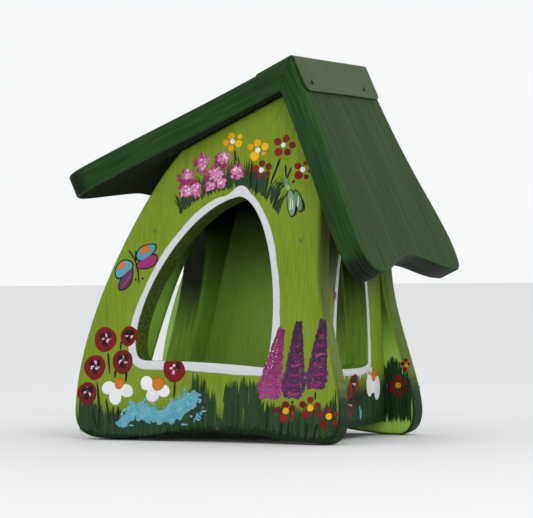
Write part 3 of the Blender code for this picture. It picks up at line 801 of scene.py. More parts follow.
def gable_panels():
    """Front panel with its arched opening and closed rear panel, from the same outline."""
    outline = gable_outline()
    drift = gable_drift(under_roof(outline))
    front = board(FRONT, outline, BOARD, 0.0030, 0.0025, hole=evenly(arch_outline(), 720), centre=ARCH_CENTRE,
                  drift=drift, rough=0.0003)
    finish = lime_coat("front_lime_paint", FRONT, 0.004, 0.06, 0.16, 2.0)
    piece("front_board", front, [finish], ["front_panel"])
    rear = board(REAR, outline, BOARD, 0.0030, 0.0028, centre=ARCH_CENTRE, drift=drift)
    # painted shade in the rear panel's inner corner at the right wall
    finish = lime_coat("rear_lime_paint", REAR, 0.006, 0.085, 0.185, 9.0, worn=False, painted_corner_shade=(-0.010, 0.040))
    piece("rear_board", rear, [finish], ["rear_panel"])


def wall_outline(node, plane):
    """Corner places of a side wall's outer face, the window's among them: those of its solid that lie
    within 0.2 mm of the wall's plane."""
    points = node_points(node) - plane[0]
    a, b, depth = points @ plane[1], points @ plane[2], -points @ plane[3]
    on_face_points = np.abs(depth) < 0.0002
    return np.stack([a[on_face_points], b[on_face_points]], 1)


def node_points(node):
    """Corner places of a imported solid."""
    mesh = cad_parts[node].data
    flat = np.zeros(len(mesh.vertices) * 3, np.float32)
    mesh.vertices.foreach_get("co", flat)
    return flat.reshape(-1, 3).astype(float)


def turned_round(points):
    """Points of a convex outline put in order by their bearing from their middle, each once."""
    points = np.unique(np.round(points, 6), axis=0)
    middle = points.mean(0)
    return points[np.argsort(np.arctan2(points[:, 1] - middle[1], points[:, 0] - middle[0]))]


def side_walls():
    """The walls stand between the gable panels. A wall's outline is its solid's outer corners, less those
    within 1.2 mm of the window's curve, which belong to the opening. Its top edge climbs with the depth at
    the slope between the solid's outer and inner tops."""
    for name, node, plane, seed in (("right_wall", "right_side_panel", RIGHT_WALL, 4.0),
                                    ("left_wall", "left_side_panel", LEFT_WALL, 6.0)):
        corners = wall_outline(node, plane)
        window = window_outline(plane)
        near = evenly(window, 900)
        away = np.min(np.linalg.norm(corners[:, None] - near[None], axis=2), axis=1) > 0.0012
        outline = evenly(turned_round(corners[away]), 480)
        points = node_points(node) - plane[0]
        b, depth = points @ plane[2], -points @ plane[3]
        high_out = b[depth < 0.0003].max()
        high_in = b[depth > WALL - 0.0003].max()
        top = outline[:, 1] > high_out - 0.0006
        slope = (high_in - high_out) / WALL

        def drift(ring, depth, top=top, slope=slope):
            return ring + np.stack([np.zeros(len(ring)), top * slope * depth], 1)

        wall = board(plane, outline, WALL, 0.0006, 0.0006, hole=evenly(window, 560), centre=WINDOW_CENTRE,
                     drift=drift, rough=0.0002)
        # the window sides and the outer faces darken upward: painted shade under the roof
        finish = lime_coat(name + "_paint", plane, 0.026, 0.08, 0.18, seed, False, False, (0.070, 0.125),
                           (0.095, 0.150))
        piece(name, wall, [finish], [node])


def mitre_drift(ring, depth):
    """The ridge end is mitred: the inner face starts the thickness lower down the slope."""
    return ring + np.stack([depth * np.clip(1.0 - ring[:, 0] / MITRE_FADE, 0.0, 1.0), np.zeros(len(ring))], 1)


def roof_boards():
    """Two boards mitred at the ridge. The right board's front outer edge is worn round, more so towards the
    ridge. Over the last 12 mm before the mitre both boards' outer roundings ease to 0.6 mm."""
    right = roof_outline(RIGHT_SLOPE, 0.022)
    out = outward(right)
    facing = np.clip(-out[:, 1], 0.0, 1.0)
    worn = 0.0020 + facing * (0.0055 * np.clip(1.0 - right[:, 0] / RIGHT_SLOPE, 0.0, 1.0) + 0.0012)
    worn = 0.0006 + (worn - 0.0006) * np.clip(right[:, 0] / 0.012, 0.0, 1.0)
    shape = board(ROOF_RIGHT, right, BOARD - 0.0001, worn, 0.0020, centre=(0.085, 0.062), drift=mitre_drift)
    finish = roof_coat("right_slope_stain", ROOF_RIGHT, knot=(0.038, 0.061))
    underside = underside_coat()
    piece("right_roof", shape, [finish, underside], ["right_roof_board"])
    left = roof_outline(LEFT_SLOPE, 0.015)
    rounded = 0.0006 + 0.0016 * np.clip(left[:, 0] / 0.012, 0.0, 1.0)
    shape = board(ROOF_LEFT, left, BOARD - 0.0001, rounded, 0.0022, centre=(0.1, 0.062), drift=mitre_drift)
    finish = roof_coat("left_slope_stain", ROOF_LEFT)
    piece("left_roof", shape, [finish, underside], ["left_roof_board"])


def nail_spots():
    """Each nail's head middle and direction: the mean of its solid's farthest points along its axis."""
    spots = {}
    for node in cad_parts:
        if "nail" not in node:
            continue
        if node.startswith("cap_nail"):
            axis = (ROOF_RIGHT if "right" in node else ROOF_LEFT)[3]
        else:
            axis = (FRONT if node.startswith("front") else REAR)[3]
        points = node_points(node)
        reach = points @ axis
        spots[node] = (points[reach > reach.max() - 2e-5].mean(0), axis)
    return spots


def ridge_capping(spots):
    """Sheet metal bent over the ridge. Along the bend its section is two straight legs joined by a quarter
    turn; its four corners are rounded, it dips round each nail and its right lower edge stands a little off
    the wood."""
    thick, radius, rise = 0.0012, 0.0024, GAP + 0.0012
    right, left = CAP_REACH
    straight, bend = right + rise - radius, 0.5 * math.pi * radius
    total = straight + bend + left + rise - radius
    s = np.concatenate([np.linspace(0.0, 0.006, 14), np.linspace(0.0068, straight, 26)[:-1],
                        np.linspace(straight, straight + bend, 10),
                        np.linspace(straight + bend, total - 0.006, 26)[1:],
                        np.linspace(total - 0.005, total, 12)])
    v = np.concatenate([np.linspace(0.0, 0.02, 5)[:-1], np.linspace(0.02, 0.98, 90),
                        np.linspace(0.98, 1.0, 5)[1:]])
    corner = 0.005
    near_end = np.clip(corner - np.minimum(s, total - s), 0.0, corner)
    inset = corner - np.sqrt(np.maximum(corner ** 2 - near_end ** 2, 0.0))
    low, high = 0.003 + inset, RIDGE_DEPTH - inset
    y = low[:, None] + v[None] * (high - low)[:, None]
    turn = np.clip((s - straight) / radius, 0.0, 0.5 * math.pi)
    x = right - np.minimum(s, straight) - radius * np.sin(turn)
    z = rise - radius * (1.0 - np.cos(turn)) - np.maximum(s - straight - bend, 0.0)
    level = np.stack([np.cos(turn), np.sin(turn)], 1)
    start, down, along, out = ROOF_RIGHT
    middle = start + x[:, None, None] * down + y[..., None] * along + z[:, None, None] * out
    normal = level[:, :1] * out - level[:, 1:] * down
    swell = np.zeros(y.shape)
    for node, (spot, axis) in spots.items():
        if node.startswith("cap_nail"):
            away = np.linalg.norm(middle - (spot - axis * 0.0008), axis=2)
            swell -= 0.00032 * np.exp(-(away / 0.0034) ** 2)
    lifted = np.exp(-(s / 0.005) ** 2)[:, None] * np.sin(np.clip(v, 0.0, 1.0) * math.pi)[None] ** 2
    swell += 0.0005 * lifted + 0.00006 * ripple(s[:, None] / 0.012, y / 0.015, 2)
    top = middle + normal[:, None] * swell[..., None]
    under = top - normal[:, None] * thick
    ring = np.concatenate([top, under[:, ::-1]], 1)
    ends = np.stack([0.5 * (top[0, len(v) // 2] + under[0, len(v) // 2]),
                     0.5 * (top[-1, len(v) // 2] + under[-1, len(v) // 2])])
    solid = np.vstack([ends[:1], ring.reshape(-1, 3), ends[1:]])
    uv = np.stack([np.broadcast_to(s[:, None], y.shape), y], -1)
    uv = np.concatenate([uv, uv[:, ::-1]], 1).reshape(-1, 2)
    uv = np.vstack([uv[:1], uv, uv[-1:]])
    rubbed = np.zeros(y.shape)
    rubbed[:, (0, -1)] = 0.6
    rubbed[(0, -1), :] = 0.6
    # the underside is marked fully dark: painted shade under the sheet
    strip = np.concatenate([rubbed, np.ones(y.shape)], 1).ravel()
    strip = np.concatenate([[1.0], strip, [1.0]])
    quads, tris = ring_faces(len(s), 2 * len(v))
    thing = piece("ridge_capping", skin(solid, quads, tris, uv, {"strip": strip}), [cap_coat()],
                  ["ridge_cap"])
    thing.data.set_sharp_from_angle(angle=math.radians(38.0))


def nails(spots):
    """Round wire nails, turned about their axis: low domed head, straight shank, point."""
    profile = np.array([(0.55, 0.04), (0.86, 0.12), (0.98, 0.26), (1.0, 0.45), (0.98, 0.78), (0.50, 0.80),
                        (0.47, 6.0), (0.47, 30.0)])
    turn = np.linspace(0.0, 2.0 * math.pi, 24, endpoint=False)
    finishes = {"cap": nail_coat("capping_nail_paint", colour(66, 88, 56), colour(40, 58, 36)),
                "panel": nail_coat("panel_nail_paint", colour(118, 138, 44), colour(84, 96, 40))}
    for node, (spot, axis) in sorted(spots.items()):
        side = np.cross(axis, (0.3, 0.9, 0.2))
        side /= np.linalg.norm(side)
        other = np.cross(axis, side)
        radius, depth = profile[:, 0] * 0.0017, profile[:, 1] * 0.001
        if not node.startswith("cap"):
            spot = spot - axis * PANEL_NAIL_SUNK
        ring = np.cos(turn)[:, None] * side + np.sin(turn)[:, None] * other
        dent = 0.00008 * ripple(turn / 2.1, 0.5, len(node))
        below = depth[:, None] + dent[None] * (depth < 0.0004)[:, None]
        solid = spot + radius[:, None, None] * ring[None] - below[..., None] * axis
        solid = np.vstack([[spot], solid.reshape(-1, 3), [spot - axis * 0.0318]])
        quads, tris = ring_faces(len(profile), len(turn))
        strip = np.concatenate([[0.0], np.repeat(np.clip((profile[:, 1] - 0.2) / 0.3, 0.0, 1.0), len(turn)),
                                [1.0]])
        uv = np.zeros((len(solid), 2))
        finish = finishes["cap" if node.startswith("cap") else "panel"]
        thing = piece(node + "_turned", skin(solid, quads, tris, uv, {"strip": strip}), [finish],
                      [node])
        thing.data.set_sharp_from_angle(angle=math.radians(50.0))


# ---------------------------------------------------------------- painted decoration, sizes in millimetres

def lottery(seed):
    """Random draws that come out the same every time."""
    return np.random.default_rng(seed)


def grass(plane, start, end, count, reach, seed, width=(1.3, 2.4), lean=(-1.5, 1.5), foot=None):
    """Blades pulled upward side by side from a ground line; reach(a) is the height of their tips, foot(a)
    their start."""
    dice = lottery(seed)
    places = np.sort(dice.uniform(start, end, count))
    blades = []
    for a in places:
        low = foot(a) + dice.uniform(0.0, 3.5)
        tip = low + max(reach(a) - low, 3.0) * dice.uniform(0.72, 1.04)
        bow = dice.uniform(*lean)
        points = [(a, low), (a + 0.35 * bow, 0.5 * (low + tip)), (a + bow, tip)]
        blades.append(stroke(plane, points, dice.uniform(*width), 0, (0.25, 0.8), 7, dice.uniform(), 0.2))
    return blades


def sort_paints(sets, parts, *paints):
    """Gives each group of strokes to its own paint."""
    for paint, strokes in zip(paints, parts):
        sets[paint] += strokes


def dot_flower(plane, heart, heart_size, petals, level=2, seed=1):
    """Finger-dab flower: a round petal at each place with its own size, and a heart laid last."""
    dice = lottery(seed)
    dabs = [dab(plane, (a, b), (size, size * 0.93), level, 0.0, 0.06, dice.uniform(), 18) for a, b,
            size in petals]
    return dabs, [dab(plane, heart, (heart_size, heart_size * 0.95), level + 1, 0.0, 0.05, dice.uniform(),
                      14)]


def blossom(plane, spot, size, count, seed, aim=None, level=1):
    """A ragged flower head: short pulls of the brush from its middle outward, or all towards one aim."""
    dice = lottery(seed)
    strokes = []
    for _ in range(count):
        angle = dice.uniform(0.0, 2.0 * math.pi)
        share = math.sqrt(dice.uniform(0.0, 0.55))
        a, b = spot[0] + size[0] * share * math.cos(angle), spot[1] + size[1] * share * math.sin(angle)
        way = angle + dice.uniform(-0.4, 0.4) if aim is None else aim + dice.uniform(-0.5, 0.5)
        length = dice.uniform(0.4, 0.75) * min(size)
        points = [(a, b), (a + length * math.cos(way), b + length * math.sin(way))]
        strokes.append(stroke(plane, points, dice.uniform(1.5, 2.7), level, (0.4, 0.4), 5, dice.uniform(),
                              0.25))
    return strokes


def lupin(plane, tip, root, width, seed):
    """A spire of dabs: rows down its stem, each row an arc that hangs lower at its ends and is wider lower
    down."""
    dice = lottery(seed)
    tip, root = np.array(tip), np.array(root)
    way = (root - tip) / np.linalg.norm(root - tip)
    side = np.array([way[1], -way[0]])
    length = np.linalg.norm(root - tip)
    body, lights = [], []
    rows = int(length / 1.35)
    for row in range(rows):
        share = (row + 0.5) / rows
        half = 0.5 * width * (0.12 + 0.88 * share ** 1.05) * (1.0 - 0.45 * max(0.0, share - 0.86) / 0.14)
        for k in np.linspace(-1.0, 1.0, 2 + int(half / 1.5)):
            spot = tip + way * (share * length
                                + dice.uniform(-0.8, 0.8)) + side * k * half * dice.uniform(0.86, 1.1)
            aim = way * dice.uniform(0.8, 1.6) + side * k * dice.uniform(0.6, 1.4)
            points = [spot - aim * 0.9, spot + aim * 1.3]
            tone = float(np.clip(0.15 + 0.55 * share + dice.uniform(-0.28, 0.28), 0.0, 1.0))
            body.append(stroke(plane, points, dice.uniform(2.7, 4.0), 1, (0.4, 0.5), 5, tone, 0.3))
            if dice.uniform() < 0.10 and share > 0.15:
                lights.append(stroke(plane, [spot, spot + aim * 1.2], dice.uniform(0.9, 1.6), 2, (0.4, 0.5),
                                     5,
                                     dice.uniform(), 0.2))
        if row % 5 == 2 and share > 0.2:
            middle = tip + way * share * length
            turn = dice.uniform(-0.35, 0.35)
            ends = [middle - side * half * (0.85 + turn) - way * 1.2, middle + side * half * (0.85 - turn)
                    - way * 0.6]
            lights.append(stroke(plane, [ends[0], middle + way * 1.4 + side * turn * half, ends[1]],
                                 dice.uniform(1.1, 1.9),
                                 2, (0.4, 0.5), 8, dice.uniform(), 0.3))
    return body, lights


def poppy(plane, spot, size, seed, cut=None):
    """A round red head, pale smears in its middle and three black seeds of paint."""
    dice = lottery(seed)
    red = [dab(plane, spot, size, 1, dice.uniform(0.0, 3.0), 0.05, dice.uniform(0.3, 0.7), 26, cut)]
    middle = np.array(spot) + (0.06 * size[0], 0.08 * size[1])
    pale, black = [], []
    for number in range(15):
        angle = number * 0.42 * math.pi + dice.uniform(-0.3, 0.3)
        a = middle + 0.12 * np.array(size) * (math.cos(angle), math.sin(angle))
        reach = dice.uniform(0.24, 0.42) * size[0]
        pale.append(stroke(plane, [a, a + reach * np.array([math.cos(angle + 0.5), math.sin(angle + 0.5)])],
                           dice.uniform(2.2, 3.6), 2, (0.4, 0.4), 5, dice.uniform(), 0.35))
    for angle in (0.7, 2.5, 4.5):
        a = middle + 0.38 * np.array(size) * (math.cos(angle), math.sin(angle))
        black.append(dab(plane, a, (dice.uniform(2.4, 3.2), dice.uniform(1.7, 2.3)), 3, angle + 0.9, 0.2,
                         dice.uniform(), 14))
    return red, pale, black


def daisy(plane, lobes, heart, heart_size, seed):
    """White petals as overlapping fat dabs, and an orange heart near the top."""
    dice = lottery(seed)
    white = [dab(plane, (a, b), (ra, rb), 2, turn, 0.04, dice.uniform(), 22) for a, b, ra, rb, turn in lobes]
    return white, [dab(plane, heart, heart_size, 3, 0.2, 0.05, 0.5, 18)]


def lines(plane, paths, width, level=1, seed=1):
    """Thin stems and outlines, one stroke per path."""
    dice = lottery(seed)
    return [stroke(plane, path, width * dice.uniform(0.85, 1.15), level, (0.3, 0.35), 10, dice.uniform(),
                   0.18) for path in paths]


def shape_between(places, heights):
    """A height by place, straight between the given ones."""
    return lambda a: float(np.interp(a, places, heights))


def front_painting():
    """Everything painted on the front panel: gathered by paint, one piece each."""
    sets = {key: [] for key in ("moss", "black", "red", "yellow", "white", "orange", "pink", "magenta",
                                "violet", "blue", "pale", "mint", "lilac")}
    ground = shape_between((-112, -90, -55, -5, 45, 80, 98), (4, 0.5, 1, 7, 5.5, 0.5, 3))
    tips = shape_between((-112, -104, -97, -90, -60, -40, -21, -18, -8, -6, 2, 3.5, 8, 10, 14, 24, 36, 40, 60,
                          80, 92, 99),
                         (42, 40, 28, 22, 20, 24, 28, 48, 48, 38, 36, 17, 17, 38, 44, 45, 42, 30, 27, 29, 30,
                          44))
    sets["moss"] += grass(FRONT, -110, 97.5, 600, tips, 11, (1.2, 2.3), foot=ground)
    sets["moss"] += grass(FRONT, -17, -7, 26, shape_between((-17, -7), (49, 46)), 12,
                          foot=shape_between((-17, -7), (20, 20)))
    sets["moss"] += grass(FRONT, 9, 38, 40, shape_between((9, 24, 38), (42, 47, 43)), 13,
                          foot=shape_between((9, 38), (24, 22)))
    arch_top = shape_between((-34, -22, -12, 0, 10, 20, 30, 38, 46),
                             (160, 169, 174.5, 178, 179, 178.5, 176, 170, 160))
    tufts = ((-33, -14, 44, 12, 21, (-7.0, -1.0)), (-15, 8, 64, 13, 22, (-2.5, 2.0)),
             (4, 26, 54, 15, 28, (-2.0, 3.0)),
             (22, 38, 52, 14, 24, (0.0, 5.0)), (36, 47, 26, 12, 24, (4.0, 13.0)))
    for number, (start, end, count, low, high, lean) in enumerate(tufts):
        dice = lottery(30 + number)
        reach = lambda a, dice=dice, low=low, high=high: arch_top(a) + dice.uniform(low, high)
        sets["moss"] += grass(FRONT, start, end, count, reach, 20 + number, (0.8, 1.7), lean, arch_top)

    yellow_flowers = (
        ((7.9, 214.6), ((6.9, 218.7, 2.9), (13.8, 218.1, 2.1), (2.6, 214.1, 2.8), (12.8, 213.1, 3.1),
                        (6.8, 210.0, 2.5))),
        ((28.7, 207.9), ((28.1, 213.0, 3.1), (34.2, 210.3, 3.1), (22.6, 210.3, 2.7), (26.1, 203.7, 3.9),
                         (33.2, 205.3, 1.6))),
    )
    for heart, petals in yellow_flowers:
        sort_paints(sets, dot_flower(FRONT, heart, 2.1, petals), "yellow", "white")
    red_flowers = (
        ((49.0, 211.0), 1.9, ((44.1, 213.6, 2.9), (50.8, 215.6, 2.8), (55.7, 210.8, 2.6), (45.2, 206.1, 3.2),
                              (52.3, 205.9, 2.7))),
        ((32.1, 193.5), 2.1, ((27.2, 194.7, 2.9), (32.3, 198.3, 2.5), (37.6, 195.9, 2.6), (37.0, 191.2, 2.0),
                              (31.1, 189.3, 2.2))),
        ((65.1, 193.1), 2.2, ((61.0, 195.7, 2.6), (66.6, 197.6, 1.7), (61.7, 189.2, 3.2), (67.7, 187.9, 1.9),
                              (70.3, 192.0, 1.5))),
    )
    for number, (heart, size, petals) in enumerate(red_flowers):
        sort_paints(sets, dot_flower(FRONT, heart, size, petals, 2, 50 + number), "red", "white")
    low_flowers = (
        ((58.4, 22.2), 2.6, ((52.1, 22.8, 2.6), (57.9, 26.6, 2.8), (63.3, 24.2, 2.6), (57.1, 17.1, 3.1),
                             (64.6, 18.8, 1.6))),
        ((77.5, 24.6), 2.6, ((71.4, 27.0, 2.7), (77.3, 30.4, 2.5), (82.7, 26.8, 2.3), (74.3, 20.2, 3.1),
                             (80.9, 21.9, 1.6))),
        ((92.1, 19.0), 2.6, ((85.8, 20.4, 2.8), (91.9, 23.5, 2.3), (97.0, 20.6, 2.0), (88.2, 13.5, 3.0),
                             (96.7, 14.8, 2.1))),
    )
    for number, (heart, size, petals) in enumerate(low_flowers):
        sort_paints(sets, dot_flower(FRONT, heart, size, petals, 2, 60 + number), "red", "yellow")

    poppies = (((-90.8, 71.7), (9.2, 9.3)), ((-98.7, 51.5), (9.1, 8.9)), ((-104.3, 32.5), (8.2, 8.1)),
               ((-75.3, 55.8), (8.8, 8.5)), ((-71.1, 74.4), (6.8, 7.7)))
    for number, (spot, size) in enumerate(poppies):
        sort_paints(sets, poppy(FRONT, spot, size, 70 + number), "red", "pale", "black")
    red, pale, black = poppy(FRONT, (-32.8, 50.5), (9.6, 8.6), 77, cut=56.6)
    sort_paints(sets, (red, pale[:4], black[:1]), "red", "pale", "black")

    petals = ((-86.6, 36.4, 5.6, 4.8, 0.3), (-71.3, 34.6, 5.8, 4.8, -0.3), (-80.4, 29.6, 5.2, 5.6, 0.1),
              (-79.0, 35.4, 6.5, 5.5, 0.0))
    sort_paints(sets, daisy(FRONT, petals, (-77.5, 39.8), (4.2, 4.3), 81), "white", "orange")
    petals = ((-54.8, 40.4, 5.2, 5.2, 0.2), (-40.5, 34.8, 5.2, 4.6, -0.2), (-49.6, 31.5, 5.4, 5.0, 0.0),
              (-47.5, 36.5, 6.8, 5.2, 0.0))
    sort_paints(sets, daisy(FRONT, petals, (-45.0, 39.8), (5.5, 5.1), 82), "white", "orange")

    stems = (((10.2, 208.4), (10.4, 204.0), (11.7, 199.7)), ((23.9, 198.7), (23.8, 180.7)),
             ((46.9, 202.1), (43.4, 193), (39.3, 182.6)),
             ((28.8, 185.3), (28.1, 174.9)), ((59.1, 185.7), (56.8, 183.6)), ((-88.2, 62.6), (-85.7, 45.8)),
             ((-77.3, 70.7), (-77.8, 64.1)), ((-96.5, 42.1), (-93.6, 22), (-92.6, 4.8)),
             ((-81.3, 49.5), (-81.4, 43.7)),
             ((-72.0, 48.9), (-72.1, 40.9)), ((-31.5, 41.4), (-31.8, 29.9)),
             ((-99.4, 21.6), (-96.6, 12), (-94.3, 5.2)),
             ((-88.3, 29.1), (-86, 19), (-84.0, 9.5)), ((-82.2, 23.3), (-80.8, 11.8)),
             ((-77.5, 23.4), (-78.2, 11.1)),
             ((44.1, 26.2), (43.4, 7.5)), ((56.0, 15.1), (54.5, 4.2)), ((61.0, 15.9), (60.4, 3.4)),
             ((75.2, 14.8), (74.5, 2.6)),
             ((83.7, 14.3), (80.4, 2.8)), ((63.3, 29.5), (63.1, 26.8)), ((81.0, 36.0), (80.9, 30.5)))
    sets["black"] += lines(FRONT, stems, 1.75, 1, 90)

    heads = (((-29.2, 190.5), (6.5, 5.0), 0.4), ((-16.9, 198.9), (5.4, 8.0), 1.2),
             ((-0.3, 202.1), (6.4, 5.2), 0.7),
             ((10.8, 193.0), (6.8, 5.6), -0.6), ((-7.0, 189.9), (6.8, 5.8), 0.5),
             ((-28.7, 181.0), (6.2, 5.6), -1.8),
             ((-21.4, 181.5), (5.0, 6.0), -1.4), ((-10.0, 183.4), (4.6, 4.0), -1.0),
             ((-1.5, 186.1), (4.6, 5.0), -1.2))
    for number, (spot, size, aim) in enumerate(heads):
        sets["magenta"] += blossom(FRONT, spot, size, 30, 100 + number, None, 0)
        sets["lilac"] += blossom(FRONT, (spot[0] + 0.4, spot[1] + 0.2), (size[0] * 1.05, size[1] * 1.0), 40,
                                 120 + number, aim, 1)
        sets["pale"] += blossom(FRONT, (spot[0] + 0.8, spot[1] + 0.6), (size[0] * 0.6, size[1] * 0.7), 6,
                                140 + number, aim, 2)
    sets["magenta"] += blossom(FRONT, (-2.4, 194.1), (4.8, 5.0), 26, 160, None, 0)

    sort_paints(sets, lupin(FRONT, (52.4, 80.0), (43.6, 31.0), 19.0, 170), "pink", "magenta")
    for number, (tip, root, width) in enumerate((((66.2, 85.5), (62.9, 32.5), 17.5),
                                                 ((85.0, 86.5), (80.6, 38.5), 16.5))):
        sort_paints(sets, lupin(FRONT, tip, root, width, 180 + number), "violet", "magenta")

    dice = lottery(200)
    for spot in smooth_path(((-73, 13), (-64, 20), (-54, 18), (-42, 17), (-31, 20), (-23, 25), (-17, 29)),
                            26):
        a = spot + dice.normal(0.0, (1.0, 1.4))
        sets["blue"].append(dab(FRONT, a, (dice.uniform(4.6, 6.6), dice.uniform(3.2, 4.6)), 0,
                                dice.uniform(0.0, 1.2), 0.35,
                                dice.uniform(0.45, 0.75), 16))
    path = smooth_path(((-75, 12), (-64, 20), (-54, 18), (-42, 17), (-31, 20), (-23, 25), (-16, 30)), 230)
    for spot in path:
        a = spot + dice.normal(0.0, (2.6, 3.0))
        way = dice.uniform(-0.6, 2.4)
        a2 = a + dice.uniform(3.0, 7.0) * np.array([math.cos(way), 0.6 * math.sin(way)])
        sets["blue"].append(stroke(FRONT, [a, a2], dice.uniform(1.3, 2.9), 1, (0.3, 0.4), 6,
                                   dice.uniform(0.3, 0.9), 0.4))
    for spot in smooth_path(((-66, 26), (-62, 22), (-58, 17)),
                            16).tolist() + smooth_path(((-16, 16), (-11, 18), (-8, 21)), 20).tolist():
        a = np.array(spot) + dice.normal(0.0, 1.5, 2)
        sets["blue"].append(stroke(FRONT, [a, a + dice.uniform(-2.5, 3.0, 2)], 1.8, 2, (0.4, 0.5), 5,
                                   dice.uniform(), 0.25))

    wings = (("blue", (-60.0, 135.6), (8.6, 4.7), 0.5), ("blue", (-78.0, 123.6), (8.0, 5.0), 0.62),
             ("magenta", (-58.0, 128.0), (9.0, 4.0), 0.42), ("violet", (-75.2, 115.6), (8.4, 3.9), 1.02))
    for number, (paint, spot, size, turn) in enumerate(wings):
        sets["black"].append(dab(FRONT, spot, (size[0] + 0.9, size[1] + 0.8), 0, turn, 0.12,
                                 0.2 + 0.2 * number, 26))
        sets[paint].append(dab(FRONT, spot, size, 1, turn, 0.12, 0.2 + 0.2 * number, 26))
    sets["orange"] += [dab(FRONT, (-60.6, 137.0), (4.8, 2.9), 2, 0.5, 0.14, 0.4, 18),
                       dab(FRONT, (-79.6, 125.8), (4.2, 2.2), 2, 0.62, 0.14, 0.6, 18)]
    sets["pink"] += lines(FRONT, (((-66.0, 123.6), (-57, 126.2), (-50.0, 131)),
                                  ((-70.5, 120.5), (-76, 112.5), (-79.6, 109.4))), 1.7, 3, 211)
    sets["black"] += lines(FRONT, (((-74.6, 137.4), (-70.5, 132.5), (-67, 126.5)),
                                   ((-68, 127.5), (-66, 122), (-64.3, 112)),
                                   ((-68.2, 137), (-68.2, 131), (-67.4, 127))), 1.2, 3, 212)
    sets["black"] += [dab(FRONT, (-67.4, 115.4), (0.8, 0.8), 2, 0.0, 0.1, 0.5, 10),
                      dab(FRONT, (-61.6, 116.3), (0.8, 0.8), 2, 0.0, 0.1, 0.4, 10)]

    sets["black"] += lines(FRONT, (((50.9, 197.3), (51.6, 191), (52.0, 186.6)),
                                   ((56.0, 195.1), (54, 190.5), (52.6, 186.6)),
                                   ((46.6, 183.6), (49.6, 183.0)), ((48.6, 180.8), (51, 181.8)),
                                   ((47.5, 177.4), (41.9, 166.6)),
                                   ((55, 178), (60.6, 168), (60.6, 161.6), (58.6, 160)),
                                   ((57, 178), (65.5, 171), (67.0, 165), (64.6, 163))),
                           1.25, 1, 220)
    sets["black"] += [dab(FRONT, (56.9, 169.4), (4.0, 10.2), 0, 0.13, 0.08, 0.5),
                      dab(FRONT, (62.3, 170.8), (3.2, 8.8), 0, 0.32, 0.08, 0.2)]
    sets["white"] += lines(FRONT, (((56.0, 163.5), (56.6, 174.5)), ((58.2, 164.0), (57.8, 172.0)),
                                   ((62.0, 166), (62.6, 175))), 0.9, 3, 221)
    sets["mint"] += [dab(FRONT, (52.4, 184.4), (2.0, 3.2), 3, 0.35, 0.06, 0.3),
                     dab(FRONT, (53.8, 180.6), (1.9, 2.6), 3, 0.4, 0.06, 0.7),
                     dab(FRONT, (56.9, 169.4), (3.2, 9.4), 2, 0.13, 0.08, 0.5),
                     dab(FRONT, (62.3, 170.8), (2.5, 8.0), 2, 0.32, 0.08, 0.2)]
    return sets


def border_width(left, top, right, low, seed, peak=0.0):
    """Width of a painted border by bearing, easing between four given widths, with a wavering hand and a
    small peak."""
    def width(bearing):
        places = np.array([-math.pi, -2.1, -1.0, 0.0, 1.2, 2.2, math.pi])
        values = np.array([left, low, low, right, top, top, left])
        crest = peak * (np.exp(-((bearing - 1.213) / 0.045) ** 2) - 0.45
                        * np.exp(-((bearing - 1.34) / 0.06) ** 2))
        return (np.interp(bearing, places, values) + crest + 0.5 * ripple(bearing * 5.0, 0.3, seed)
                + 0.22 * ripple(bearing * 17.0, 0.7, seed)) * MM
    return width


def wall_painting(plane, sets, seed):
    """A side wall's decoration: grass, poppies, a daisy, short blue and magenta strokes, and white strokes
    hanging under the window."""
    ground = shape_between((-56, -30, 0, 30, 55), (14, 9.5, 8.5, 9.5, 14))
    tips = shape_between((-56, -30, -12, 12, 26, 40, 55), (44, 32, 26, 30, 40, 38, 48))
    sets["moss"] += grass(plane, -53.5, 51.5, 190, tips, seed, foot=ground)
    for number, (spot, size) in enumerate((((-1.7, 38.6), (6.2, 9.0)), ((-7.9, 23.7), (5.6, 8.4)))):
        sort_paints(sets, poppy(plane, spot, size, seed + 5 + number), "red", "pale", "black")
    petals = ((25.5, 36.5, 5.0, 8.6, 0.1), (39.0, 34.0, 5.0, 9.0, -0.1), (32.0, 37.5, 6.0, 7.0, 0.0))
    sort_paints(sets, daisy(plane, petals, (32.6, 43.5), (4.0, 4.6), seed + 9), "white", "orange")
    sets["black"] += lines(plane, (((31.8, 26.0), (31.6, 11.5)),), 1.3, 1, seed + 10)
    sets["blue"] += lines(plane, (((8.6, 23.0), (9.4, 11.5)), ((11.0, 20.0), (10.4, 12.5))), 2.2, 1,
                          seed + 11)
    sets["magenta"] += lines(plane, (((-32.8, 110.5), (-32.5, 98.6)), ((-30.5, 106), (-30.9, 99.6))), 2.6, 1,
                             seed + 12)
    dice = lottery(seed + 13)
    for a in np.linspace(-24.0, 30.0, 40):
        low = 50.0 - dice.uniform(3.0, 9.0)
        sets["border"].append(stroke(plane, [(a, 50.2), (a + dice.uniform(-0.6, 0.6), low)],
                                     dice.uniform(1.0, 2.0), 0, (0.2, 0.8), 5, dice.uniform(), 0.2))


